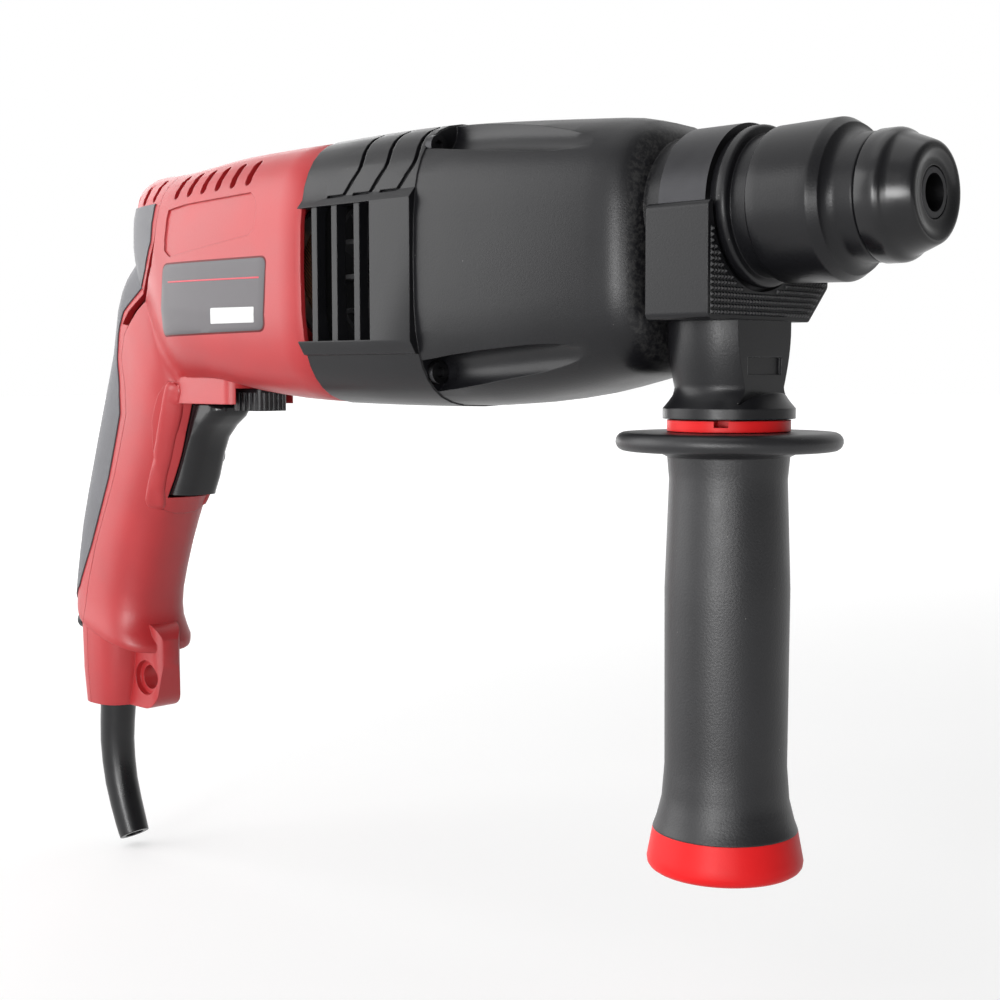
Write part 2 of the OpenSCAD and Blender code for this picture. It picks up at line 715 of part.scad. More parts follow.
// Motor
pole_r = armature_d / 2 + 0.6;
yoke_t = 4.5;
coil_r = [pole_r + 1.4, stator_d / 2 - yoke_t - 0.4];
module stator_core() color(steel) along_x(stack_x - stack_l, 0, motor_axis) linear_extrude(stack_l)
    difference() {
        circle(stator_d / 2);
        circle(pole_r);
        for (s = [-1, 1]) rotate(s * 90) difference() {
            intersection() {
                circle(stator_d / 2 - yoke_t);
                translate([0, -14.5]) square([40, 29]);
            }
            circle(pole_r);
        }
    }
module field_coils() color(copper) for (s = [-1, 1]) along_x(stack_x - stack_l - coil_over, 0, motor_axis)
    linear_extrude(stack_l + 2 * coil_over) rotate(s * 90) difference() {
        intersection() {
            circle(coil_r[1]);
            translate([0, -14]) square([40, 28]);
        }
        circle(coil_r[0]);
    }

module armature_shaft() color(steel) {
    pinion_x = bracket_x - bracket_t + motor_bearing_w + 1;
    xcyl(rear_bearing_x - rear_bearing_w, pinion_x, shaft_r, 0, motor_axis);
    xgear(pinion_x, lay_gear_x + lay_gear_w, motor_z, motor_m, motor_axis);
}
module armature_core() color(steel) difference() {
    xtube(stack_x - stack_l, stack_x, shaft_r + seat, armature_d / 2, 0, motor_axis);
    translate([0, 0, motor_axis]) for (i = [0:11]) rotate([30 * i, 0, 0])
        span(stack_x - stack_l - 1, stack_x + 1, -0.9, 0.9, armature_d / 2 - 5, armature_d / 2 + 1);
}
winding_l = 9;
module armature_windings() color(copper) for (x = [stack_x + seat, stack_x - stack_l - winding_l - seat])
    xturn(concat(
        [[x, shaft_r + seat]], arc(x + 3, armature_d / 2 - 4.5, 3, 180, 90, 3),
        arc(x + winding_l - 3, armature_d / 2 - 4.5, 3, 90, 0, 3),
        [[x + winding_l, shaft_r + seat]]), motor_axis);
module commutator() color(copper) difference() {
    union() {
        xtube(comm_x - comm_l, comm_x, shaft_r + seat, comm_r, 0, motor_axis);
        xtube(comm_x - 2, comm_x, shaft_r + seat, comm_r + 1.6, 0, motor_axis);
    }
    translate([0, 0, motor_axis]) for (i = [0:23]) rotate([15 * i, 0, 0])
        span(comm_x - comm_l - 1, comm_x + 1, -0.3, 0.3, comm_r - 1.2, comm_r + 3);
}
blade_t = 1.6;
module fan() color(grey) {
    xtube(fan_x, fan_x + fan_w, shaft_r + seat, 9, 0, motor_axis);
    xtube(fan_x, fan_x + 2, shaft_r + seat, fan_d / 2, 0, motor_axis);
    along_x(fan_x + 1, 0, motor_axis) linear_extrude(fan_w - 3) for (i = [0:fan_blades - 1])
        rotate(360 * i / fan_blades) intersection() {
            difference() {
                circle(fan_d / 2 - 0.3);
                circle(8);
            }
            translate([fan_d * 0.3, -fan_d * 0.42]) difference() {
                circle(fan_d * 0.42 + blade_t / 2);
                circle(fan_d * 0.42 - blade_t / 2);
            }
            translate([0, -fan_d * 0.2]) square([fan_d, fan_d * 0.4]);
        }
}
module front_motor_bearing() color(steel)
    xbearing(bracket_x - bracket_t, motor_bearing_w, shaft_r + seat, motor_bearing_r, motor_axis);
module rear_motor_bearing() color(steel)
    xbearing(rear_bearing_x - rear_bearing_w, rear_bearing_w, shaft_r + seat, rear_bearing_r, motor_axis);

// Brush gear at both sides of the commutator
brush_y = comm_r + 0.1;
holder_y = [comm_r + 2.5, comm_r + 15.8];
module brush_holders() color(black) both_sides() difference() {
    union() {
        span(brush_x - 5.5, brush_x + 5.5, holder_y[0], holder_y[1], motor_axis - 5, motor_axis + 5);
        span(rear_bearing_x + seat, brush_x, holder_y[0] + 2, holder_y[1] - 5,
            motor_axis - 5, motor_axis + 5);
    }
    span(brush_x - brush_size[0] / 2 - 0.05, brush_x + brush_size[0] / 2 + 0.05, 0, holder_y[1] - 1.2,
        motor_axis - brush_size[2] / 2 - 0.05, motor_axis + brush_size[2] / 2 + 0.05);
}
module brushes() color(grey) both_sides() difference() {
    span(brush_x - brush_size[0] / 2, brush_x + brush_size[0] / 2, comm_r - 1, brush_y + brush_size[1],
        motor_axis - brush_size[2] / 2, motor_axis + brush_size[2] / 2);
    xcyl(comm_x - comm_l - 1, comm_x + 1, brush_y, 0, motor_axis);
}
module brush_springs() color(steel) both_sides() along_y(brush_x, brush_y + brush_size[1], motor_axis)
    coil(holder_y[1] - 1.2 - brush_y - brush_size[1], 2.1, 0.7, 4);

// Controls
switch_z = [-97, -60];
module switch_body() color(black) difference() {
    union() {
        span(switch_x - switch_l, switch_x, -12, 12, switch_z[0], switch_z[1]);
        span(switch_x - 12, switch_x - 3, 0.3 + wall - grip_w / 2, grip_w / 2 - wall - 0.3, -86, -70);
    }
    xcyl(switch_x - 18, switch_x + 1, stem_r + run, 0, stem_z);
}
// Front line of the trigger, as distance behind its nose and height
trigger_line = [
    [22.5, trigger_bottom + 0.2], [22, trigger_bottom + 1.5], [19, -88], [15.5, -78], [12.5, -72], [7, -67],
    [1.5, -63.5], [0, -61.5], [0, trigger_top - 0.8], [0.8, trigger_top]
];
trigger_depth = 38;
trigger_round = 6;
module trigger() color(black) {
    w = trigger_w / 2;
    skin() loft([for (p = trigger_line) let (f = trigger_x - p[0]) [for (q = concat(
        [[trigger_x - trigger_depth, w], [trigger_x - trigger_depth, -w]],
        arc(f - trigger_round, trigger_round - w, trigger_round, -90, 0, 5),
        arc(f - trigger_round, w - trigger_round, trigger_round, 0, 90, 5))) [q[0], q[1], p[1]]]]);
    xcyl(switch_x - trigger_travel - 3, trigger_x - trigger_depth + 1, stem_r, 0, stem_z);
}
module trigger_spring() color(steel) along_x(switch_x, 0, stem_z)
    coil(trigger_x - trigger_depth - switch_x, 4.6, 0.6, 4);
lever_tip = [15, lever_reach];
module reverse_lever() color(black) difference() {
    union() {
        translate([lever_x, 0, lever_z[0]]) {
            cylinder(h = lever_z[1] - lever_z[0], r = lever_boss_r);
            linear_extrude(lever_z[1] - lever_z[0]) offset(r = 2) offset(delta = -2)
                polygon([[0, -5], [lever_reach, -7], [lever_reach, 7], [0, 5]]);
        }
        translate([lever_x, 0, lever_z[0] - 3]) linear_extrude(4) offset(r = 2) offset(delta = -2)
            polygon([[lever_tip[0], -6], [lever_tip[1], -7], [lever_tip[1], 7], [lever_tip[0], 6]]);
        both_sides() for (i = [0:3]) translate([lever_x + lever_reach - 3 - 3.2 * i, 6.7, lever_z[0] - 3])
            cylinder(h = 7, r = 0.9, $fn = 16);
        for (i = [-2:2]) translate([lever_x + lever_reach, 2.2 * i, lever_z[0] - 3])
            cylinder(h = 7, r = 0.8, $fn = 16);
    }
    translate([lever_x, 0, lever_z[0] - 1]) cylinder(h = 12, r = lever_pin_r + run);
}
button_y = [grip_w / 2 - 5.8, grip_w / 2 + 2.5];
module lock_button() color(black) {
    h = button_y[1] - button_y[0];
    along_y(button_at[0], button_y[0], button_at[1]) cylinder(h = 1.8, r = button_r + 2);
    along_y(button_at[0], button_y[0], button_at[1]) rotate_extrude() polygon(concat(
        [[0, 0], [button_r, 0]], [for (p = arc(h - 1, button_r - 1, 1, 90, 0, 4)) [p[1], p[0]]], [[0, h]]));
}
module cord_clamp() color(black) difference() {
    span(cord_x - 6, cord_x, -9, 9, cord_z[0], cord_z[1]);
    translate([cord_x, 0, cord_z[0] - 1]) cylinder(h = 12, r = cord_r);
}
// Bend relief of the cord: points of its middle line and radii
boot_line = [for (p = [[0, 4], [0, -4], [-1.2, -19], [1.3, -36.7], [7.6, -53], [10.3, -58.6]])
    [boot_x + p[0], foot_z + p[1]]];
module cord_boot() color(black) difference() {
    union() {
        skin() difference() {
            tube_path(refine(boot_line, 2), [for (i = [0:10]) mix(boot_r - 0.4, boot_r - 2, i / 10)], 24);
            tube_path([for (p = refine(boot_line, 2)) p - [0, 0.1]], [for (i = [0:10]) cord_r], 16);
        }
        translate([boot_x, 0, foot_z + 0.3]) cylinder(h = 9.5, r = boot_r);
    }
    translate([boot_x, 0, foot_z - 3]) cylinder(h = 15, r = cord_r);
}
module screw(x0, x1, y, z) difference() {
    union() {
        xcyl(x0, x1, screw_r, y, z);
        xcyl(x0 - head_h, x0, head_r, y, z);
    }
    along_x(x0 - head_h - 1, y, z) cylinder(h = 2.4, r = 2, $fn = 6);
}
module housing_screws() color(steel) for (s = [-1, 1], p = [
    [half_w - 11.5, body_top - 8.5], [half_w - 11.5, 10.5 - body_bottom]])
    mirror([1, 0, 0]) screw(-screw_seat_x, 25 - seam_x, s * p[0], p[1]);
module cover_screws() color(steel) for (b = cover_bosses, s = [-1, 1])
    screw(seam_x - b[2], seam_x - b[3] - 1, s * b[0], b[1]);

// Gear train and hammer
module layshaft() color(steel) {
    rear = [bracket_x - lay_bearing_w, bracket_x + 0.3];
    front = [lay_front_x - lay_bearing_w - 0.3, lay_front_x];
    xturn([[rear[0], 0], [rear[0], lay_journal_r], [rear[1], lay_journal_r], [rear[1], lay_shaft_r],
        [front[0], lay_shaft_r], [front[0], lay_journal_r], [front[1], lay_journal_r],
        [front[1], 0]], -lay_drop);
    xgear(gear_x, gear_x + gear_w, lay_pinion_z, spindle_m, -lay_drop, 180);
}
module layshaft_gear() color(steel) difference() {
    xgear(lay_gear_x, lay_gear_x + lay_gear_w, lay_z, motor_m, -lay_drop);
    xcyl(lay_gear_x - 1, lay_gear_x + lay_gear_w + 1, lay_shaft_r + seat, 0, -lay_drop);
}
module layshaft_bearings() color(steel) {
    xbearing(bracket_x - lay_bearing_w, lay_bearing_w, lay_journal_r + seat, lay_rear_r, -lay_drop);
    xbearing(lay_front_x - lay_bearing_w, lay_bearing_w, lay_journal_r + seat, lay_front_r, -lay_drop);
}
module at_wobble() translate([pin_x, 0, -lay_drop]) children();
module wobble_drum() color(steel) difference() {
    union() {
        intersection() {
            at_wobble() sphere(drum_r);
            xcyl(pin_x - 7, pin_x + 7, drum_r + 1, 0, -lay_drop);
        }
        xcyl(lay_gear_x + lay_gear_w, pin_x, 8, 0, -lay_drop);
    }
    xcyl(lay_gear_x, pin_x + 9, lay_shaft_r + seat, 0, -lay_drop);
}
finger_top = 4;
module wobble_ring() color(steel) difference() {
    union() {
        xcyl(pin_x - ring_w / 2, pin_x + ring_w / 2, drum_r + 4, 0, -lay_drop);
        translate([pin_x, 0, -lay_drop]) cylinder(h = lay_drop + finger_top, r = finger_r);
    }
    at_wobble() sphere(drum_r + 0.3);
    along_y(pin_x, -drum_r - 9, -lay_drop) cylinder(h = 2 * drum_r + 18, r = 2);
}
pin_l = 19;
module piston_pin() color(steel) difference() {
    along_y(pin_x, -pin_l / 2, 0) cylinder(h = pin_l, r = pin_r);
    translate([pin_x, 0, -pin_r - 1]) cylinder(h = 2 * pin_r + 2, r = finger_r + seat);
}
ear = [4.6, 8.6];
module piston() color(steel) difference() {
    union() {
        xcyl(piston_back, piston_front, tube_r - run);
        both_sides() intersection() {
            side_plate(2 * ear[1]) union() {
                translate([pin_x, 0]) circle(pin_r + 2.6);
                translate([pin_x, -pin_r - 2.6]) square([piston_back + 1 - pin_x, 2 * pin_r + 5.2]);
            }
            span(pin_x - 20, piston_back + 1, ear[0], ear[1], -20, 20);
        }
    }
    xcyl(piston_back + 4, piston_front + 1, piston_in_r);
    for (z = [-0.75, 0]) along_y(pin_x, -20, z) cylinder(h = 40, r = pin_r + 0.1);
    span(pin_x - pin_r - 0.1, pin_x + pin_r + 0.1, -20, 20, -0.75, 0);
}
seal_groove = [6, 3];
module striker() color(steel) difference() {
    union() {
        xcyl(striker_x - striker_l, striker_x, piston_in_r - run);
        xcyl(striker_x - 1, striker_x + striker_nose, 5);
    }
    xtube(striker_x - striker_l + seal_groove[0], striker_x - striker_l + seal_groove[0] + seal_groove[1],
        piston_in_r - 2, piston_in_r + 1);
}
module striker_seal() color(black) xtube(striker_x - striker_l + seal_groove[0] + 0.1,
    striker_x - striker_l + seal_groove[0] + seal_groove[1] - 0.1,
    piston_in_r - 2 + seat, piston_in_r - run);
module beat_piece() color(steel) xturn([[beat_x, 0], [beat_x, anvil_r - 1], [beat_x + 1, anvil_r],
    [beat_x + beat_l - 2, anvil_r], [beat_x + beat_l, socket_r - 0.3],
    [beat_x + beat_l + 3, socket_r - 0.3],
    [beat_x + beat_l + 3, 0]]);

// Spindle and tool holder
mouth_l = 5;
cone_x = -8;
spring_seat_x = sleeve_rear - 0.1;
key = [3.4, 1.6];
guide_l = 13;
module spindle() color(steel) difference() {
    xturn([[barrel_x, 0], [barrel_x, barrel_r], [journal_x, barrel_r], [journal_x, journal_r],
        [spring_seat_x - 6.4, journal_r], [spring_seat_x - 6.4, chuck_r], [spring_seat_x - 2, chuck_r],
        [spring_seat_x - 2, chuck_r + 6], [spring_seat_x, chuck_r + 6], [spring_seat_x, chuck_r],
        [cone_x, chuck_r], [-mouth_l, mouth_r], [-0.5, mouth_r], [0, mouth_r - 0.5], [0, 0]]);
    difference() {
        xcyl(-socket_depth - 1, 1, socket_r);
        both_sides() span(-34, -15, socket_r - key[1], socket_r + 1, -key[0] / 2, key[0] / 2);
    }
    xcyl(-guide_l - 1.2, -guide_l, socket_r + 0.6);
    xcyl(anvil_x - 1, -socket_depth, anvil_r + run);
    xcyl(barrel_x - 1, anvil_x, tube_r);
    for (a = [0, 180]) rotate([a, 0, 0]) translate([ball_x, 0, socket_r - 2])
        cylinder(h = 9, r = ball_r + run);
}
module spindle_gear() color(steel) difference() {
    xgear(gear_x, gear_x + gear_w, spindle_z, spindle_m, 0, 180 / spindle_z);
    xcyl(gear_x - 1, gear_x + gear_w + 1, barrel_r + seat);
}
module spindle_bearing() color(steel)
    xbearing(bearing_x - bearing_w, bearing_w, journal_r + seat, spindle_bearing_r);
module spindle_seal() color(black)
    xtube(bearing_x + 0.5, lip_x - 2 - seat, journal_r + run, spindle_bearing_r);
module locking_balls() color(steel) for (s = [-1, 1])
    translate([ball_x, 0, s * (socket_r + ball_r - 1.7)]) sphere(ball_r);
ring_x = [ball_x - 5, ball_x + 5];
module locking_ring() color(steel) xtube(ring_x[0], ring_x[1], chuck_r + run, chuck_r + 3);
module sleeve_spring() color(steel) along_x(spring_seat_x, 0, 0)
    coil(ring_x[0] - 1 - spring_seat_x, chuck_r + 4, 1.5, 5);
module locking_sleeve() color(black) {
    crest = sleeve_x - 11;
    xturn(concat(
        [[sleeve_x, chuck_r + run], [sleeve_x, sleeve_r - 5.6]],
        arc(sleeve_x - 0.6, sleeve_r - 5.4, 0.6, 0, 90, 3),
        [[sleeve_x - 4.7, sleeve_r - 4.8]], arc(sleeve_x - 4.7, sleeve_r - 1, 3.8, -90, -170, 6),
        arc(crest - 0.6, sleeve_r - 1.6, 1.6, 60, 90, 3),
        [[sleeve_rear + 0.8, sleeve_r - 0.4]], arc(sleeve_rear + 0.8, sleeve_r - 1.2, 0.8, 90, 180, 3),
        [[sleeve_rear, skirt_r], [sleeve_rear + 9, skirt_r], [sleeve_rear + 9, sleeve_r - 4.2],
        [ring_x[0] - 1, sleeve_r - 4.2], [ring_x[0] - 1, chuck_r + 3 + seat],
        [ring_x[1] + seat, chuck_r + 3 + seat], [ring_x[1] + seat, chuck_r + run]]));
}
module dust_cap() color(black) {
    r = cap_d / 2;
    xturn(concat(
        [[-cap_l, chuck_r + seat], [-cap_l, r - 0.6]], arc(0.6 - cap_l, r - 0.6, 0.6, 180, 90, 3),
        arc(4.6 - cap_l, r - 3.5, 3.5, 90, 35, 5), [[-1.2, r - 3.6]], arc(-0.6, r - 5.4, 1.4, 60, 0, 4),
        [[0.8, r - 6.4], [0, mouth_r + 1.9], [0, mouth_r + seat], [-mouth_l, mouth_r + seat],
        [cone_x, chuck_r + seat]]));
}
module mode_knob() color(black) {
    along_y(knob_at[0], knob_y - 7, knob_at[1]) cylinder(h = 8, r = knob_shaft_r);
    along_y(knob_at[0], knob_y - 7, knob_at[1]) cylinder(h = 2, r = knob_shaft_r + 2);
    along_y(knob_at[0], knob_y, knob_at[1]) rotate_extrude() polygon(concat([[0, 0], [knob_d / 2 - 0.8, 0]],
        [for (p = arc(4.5, knob_d / 2 - 1.5, 1.5, 90, 0, 4)) [p[1], p[0]]], [[0, 6]]));
    translate([knob_at[0], knob_y, knob_at[1]]) rotate([90, 0, 180]) linear_extrude(knob_h) offset(r = 3)
        square([knob_d - 8, 3], center = true);
}

// Side handle
module clamp_block() color(black) difference() {
    translate([handle_x - block_half_x, 0, 0]) rotate([90, 0, 90]) linear_extrude(2 * block_half_x)
        offset(r = 2) offset(delta = -2) polygon([[-block_near, 0.5], [-block_near, block_bottom],
            [block_far - block_slant, block_bottom], [block_far, block_bottom + block_slant],
            [block_far, 0.5]]);
    xcyl(handle_x - 30, handle_x + 30, band_out_r + 0.1);
    yoke_way(block_bottom - 1, 0);
}
module yoke_way(z0, z1) translate([handle_x, 0, 0])
    span(-yoke[0] - 0.1, yoke[0] + 0.1, -yoke[1] - 0.1, yoke[1] + 0.1, z0, z1);
// Foot of the band that the bolt pulls down
yoke = [7, 9, -neck_r - 17];
module clamp_band() color(steel) difference() {
    union() {
        xtube(handle_x - band_w / 2, handle_x + band_w / 2, band_r, band_out_r);
        difference() {
            span(handle_x - yoke[0], handle_x + yoke[0], -yoke[1], yoke[1], yoke[2], -neck_r);
            xcyl(handle_x - 20, handle_x + 20, band_r);
        }
    }
    translate([handle_x, 0, yoke[2] - 1]) cylinder(h = 40, r = bolt_r + run);
    translate([handle_x, 0, -neck_r - 8]) cylinder(h = 20, r = 6.6, $fn = 6);
}
module clamp_bolt() color(steel) {
    translate([handle_x, 0, -neck_r - 8 + seat]) cylinder(h = 5, r = 6.5, $fn = 6);
    translate([handle_x, 0, bolt_end]) cylinder(h = -neck_r - 7 - bolt_end, r = bolt_r);
}
bolt_end = flange_z - flange_t - 26;
neck_flat = 12.3;
module clamp_neck() color(black) difference() {
    zturn(concat([[block_bottom - seat, 0], [block_bottom - seat, 18.2]],
        [for (i = [0:8]) let (t = i / 8) [block_bottom - 2 - 17 * t, 18.2 - 2.4 * (1 - cos(90 * t)) * 1]],
        [for (i = [1:6]) let (t = i / 6) [block_bottom - 19 - 6 * t, 15.8 + 3.4 * (1 - cos(90 * t))]],
        [[ring_z + 0.02, 19.2], [ring_z + 0.02, 0]]), handle_x);
    for (a = [0, 180]) translate([handle_x, 0, 0]) rotate(a) difference() {
        span(neck_flat, 30, -30, 30, ring_z + 4, block_bottom + 1);
        along_y(neck_flat + 6, -30, ring_z + 2) cylinder(h = 60, r = 6);
    }
    span(handle_x + neck_flat - 1, handle_x + 30, -8.6, 8.6, ring_z + 12.6, ring_z + 17.6);
    translate([handle_x, 0, ring_z - 1]) cylinder(h = 60, r = bolt_r + 0.1);
    yoke_way(yoke[2] - 0.5, block_bottom + 1);
}
module ratchet_ring() color(red) difference() {
    translate([handle_x, 0, flange_z]) cylinder(h = ring_h - gap, r = side_grip_d / 2 - 0.1);
    translate([handle_x, 0, flange_z - 1]) cylinder(h = 10, r = bolt_r + 0.1);
    translate([handle_x, 0, 0]) rotate(-62) span(10, 30, -2, 2, ring_z - gap - 1.8, ring_z + 1);
}
nut_h = 7;
module side_grip() color(black) difference() {
    r = side_grip_d / 2;
    top = flange_z - seat;
    zturn(concat([[top, 0]],
        [for (i = [0:8]) let (a = mix(75, -90, i / 8)) [top - flange_t / 2 + flange_t * 0.45 * sin(a),
            flange_d / 2 - flange_t * 0.45 + flange_t * 0.45 * cos(a)]],
        [[top - flange_t, r + 3], [top - flange_t - 1.5, r - 0.2], [top - flange_t - 8, r - 0.8],
        [top - flange_t - 40, r + 0.3], [cap_z + 19, r], [cap_z + 9, r + 0.8], [cap_z + 3, r + 2.3],
        [cap_z, r + 3.4], [cap_z, 0]]), handle_x);
    translate([handle_x, 0, bolt_end - 4]) cylinder(h = 80, r = bolt_r + 0.1);
    translate([handle_x, 0, top - nut_h - 2]) cylinder(h = nut_h, r = 7.5 + seat, $fn = 6);
    translate([handle_x, 0, cap_z - 1]) cylinder(h = 40, r = 11);
}
module grip_nut() color(steel) difference() {
    translate([handle_x, 0, flange_z - nut_h - 2]) cylinder(h = nut_h - seat, r = 7.5, $fn = 6);
    translate([handle_x, 0, flange_z - nut_h - 3]) cylinder(h = 20, r = bolt_r + seat);
}
module grip_cap() color(red) {
    r = side_grip_d / 2 + 3.4;
    zturn(concat([[cap_z - seat, 0], [cap_z - seat, r], [cap_z - cap_h + 3, r + 1.7]],
        [for (i = [1:4]) let (a = 22.5 * i) [cap_z - cap_h + 2.5 - 2.5 * sin(a), r - 0.8 + 2.5 * cos(a)]],
        [[cap_z - cap_h, 0]]), handle_x);
    translate([handle_x, 0, cap_z - 1]) cylinder(h = 13, r = 11 - seat);
}

motor_housing();
handle_cover();
grip_pad();
gear_housing();
gear_bracket();
air_baffle();
stator_core();
field_coils();
armature_shaft();
armature_core();
armature_windings();
commutator();
fan();
front_motor_bearing();
rear_motor_bearing();
brush_holders();
brushes();
brush_springs();
switch_body();
trigger();
trigger_spring();
reverse_lever();
lock_button();
cord_clamp();
cord_boot();
housing_screws();
cover_screws();
layshaft();
layshaft_gear();
layshaft_bearings();
wobble_drum();
wobble_ring();
piston_pin();
piston();
striker();
striker_seal();
beat_piece();
spindle();
spindle_gear();
spindle_bearing();
spindle_seal();
locking_balls();
locking_ring();
sleeve_spring();
locking_sleeve();
dust_cap();
mode_knob();
clamp_block();
clamp_neck();
clamp_band();
clamp_bolt();
ratchet_ring();
side_grip();
grip_nut();
grip_cap();
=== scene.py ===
"""Looks of a pistol-grip rotary hammer with a clamp-on side handle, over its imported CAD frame."""

import json
import math

import bmesh
import bpy
from mathutils import Euler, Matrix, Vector
from mathutils.bvhtree import BVHTree


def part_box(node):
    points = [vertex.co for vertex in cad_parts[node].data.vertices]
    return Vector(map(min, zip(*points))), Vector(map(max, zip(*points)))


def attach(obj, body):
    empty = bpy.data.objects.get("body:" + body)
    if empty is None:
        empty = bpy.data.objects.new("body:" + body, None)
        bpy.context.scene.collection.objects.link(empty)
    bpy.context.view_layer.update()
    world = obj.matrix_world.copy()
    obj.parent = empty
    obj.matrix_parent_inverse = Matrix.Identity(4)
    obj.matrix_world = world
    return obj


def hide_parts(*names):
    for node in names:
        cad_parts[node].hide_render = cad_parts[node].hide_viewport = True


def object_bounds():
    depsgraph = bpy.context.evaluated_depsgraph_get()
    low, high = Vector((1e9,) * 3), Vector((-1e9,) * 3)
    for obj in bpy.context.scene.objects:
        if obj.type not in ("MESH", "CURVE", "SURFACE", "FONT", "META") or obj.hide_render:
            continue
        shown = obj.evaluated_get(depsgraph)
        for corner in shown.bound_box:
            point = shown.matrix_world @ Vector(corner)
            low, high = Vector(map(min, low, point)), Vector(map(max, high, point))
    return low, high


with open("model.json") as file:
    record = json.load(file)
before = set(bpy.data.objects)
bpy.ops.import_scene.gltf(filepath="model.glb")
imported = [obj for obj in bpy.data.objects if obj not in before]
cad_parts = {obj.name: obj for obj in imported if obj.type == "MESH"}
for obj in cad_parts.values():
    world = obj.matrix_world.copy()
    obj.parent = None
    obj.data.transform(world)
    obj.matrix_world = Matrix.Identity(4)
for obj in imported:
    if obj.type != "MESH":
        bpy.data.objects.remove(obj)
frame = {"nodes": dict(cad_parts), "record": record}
cad_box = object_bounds()
MM = 0.001

# Camera at the photograph's angle, in millimetres and degrees
CAMERA_AT = (202.6, -383.8, -46.6)
CAMERA_TURN = 42.98
CAMERA_DIP = 4.59
CAMERA_ROLL = -0.11
CAMERA_LENS = 57.17
SENSOR_WIDTH = 36
CLIP_M = (0.01, 50)

# Soft boxes: where each stands, its size, and how bright its face is
AIM = (-190, 0, -70)
SOFT_BOXES = {
    "left_box": ((-1350, -850, 340), (1300, 1200), 2.9),
    "middle_box": ((-160, -1450, 330), (900, 1200), 1.1),
    "front_strip": ((230, -1400, 0), (360, 480), 13.0),
    "top_box": ((-250, 0, 1350), (1700, 1000), 0.7),
    "rear_box": ((-1500, 500, 300), (1000, 1000), 2.0),
    "low_box": ((600, -1200, -60), (900, 300), 8.0),
}

# White room: its share of light on the tool, and how much less comes from the side of the nose
AMBIENT = 0.42
NOSE_SIDE_DIM = 0.75
DIM_OVER = (0.0, 0.6)

# Paper floor, in metres; its glow rises to white between the two reaches
FLOOR_HALF = 12.0
FLOOR_DROP = 0.002
GLOW_REACH = (0.4, 2.5)
GLOW_NEAR = 0.55

# Sizes of the patterns in the finishes, in millimetres
FLOW_MM = 24
SCUFF_PATCH_MM = 40
WEAR_PATCH_MM = 9
BLOOM_PATCH_MM = 18
WIPE_MM = 14
POLISH_MM = 0.9
OIL_FILM_MM = 12
PAPER_MM = 120

# Fine dust: how far apart the specks lie and how large they are, in millimetres
DUST_ON_PLASTIC = (5.0, 0.16)
DUST_ON_RUBBER = (4.0, 0.15)


class Wire:
    """An output of a node tree; arithmetic on it adds Math nodes."""

    def __init__(self, graph, socket):
        self.graph, self.socket = graph, socket

    def math(self, operation, a, b):
        return self.graph.node("ShaderNodeMath", {"operation": operation}, {0: a, 1: b})

    def __add__(self, other):
        return self.math("ADD", self, other)

    def __sub__(self, other):
        return self.math("SUBTRACT", self, other)

    def __rsub__(self, other):
        return self.math("SUBTRACT", other, self)

    def __mul__(self, other):
        return self.math("MULTIPLY", self, other)

    def __truediv__(self, other):
        return self.math("DIVIDE", self, other)

    def __gt__(self, other):
        return self.math("GREATER_THAN", self, other)

    def __lt__(self, other):
        return self.math("LESS_THAN", self, other)

    __radd__ = __add__


class Graph:
    """A node tree that is written one node at a time."""

    def __init__(self, tree):
        self.tree = tree

    def feed(self, socket, value):
        if isinstance(value, Wire):
            self.tree.links.new(value.socket, socket)
        else:
            socket.default_value = value

    def node(self, kind, settings=None, inputs=None, output=0):
        made = self.tree.nodes.new(kind)
        for key, value in (settings or {}).items():
            setattr(made, key, value)
        for key, value in (inputs or {}).items():
            self.feed(made.inputs[key], value)
        return Wire(self, made.outputs[output])

    def part_of(self, vector, axis):
        return self.node("ShaderNodeSeparateXYZ", {}, {0: vector}, output=axis)

    def step(self, value, low, high, top=1.0):
        """0 below low, top above high, smooth between."""
        return self.node("ShaderNodeMapRange", {"interpolation_type": "SMOOTHSTEP"}, {
            "Value": value, "From Min": low, "From Max": high, "To Max": top})


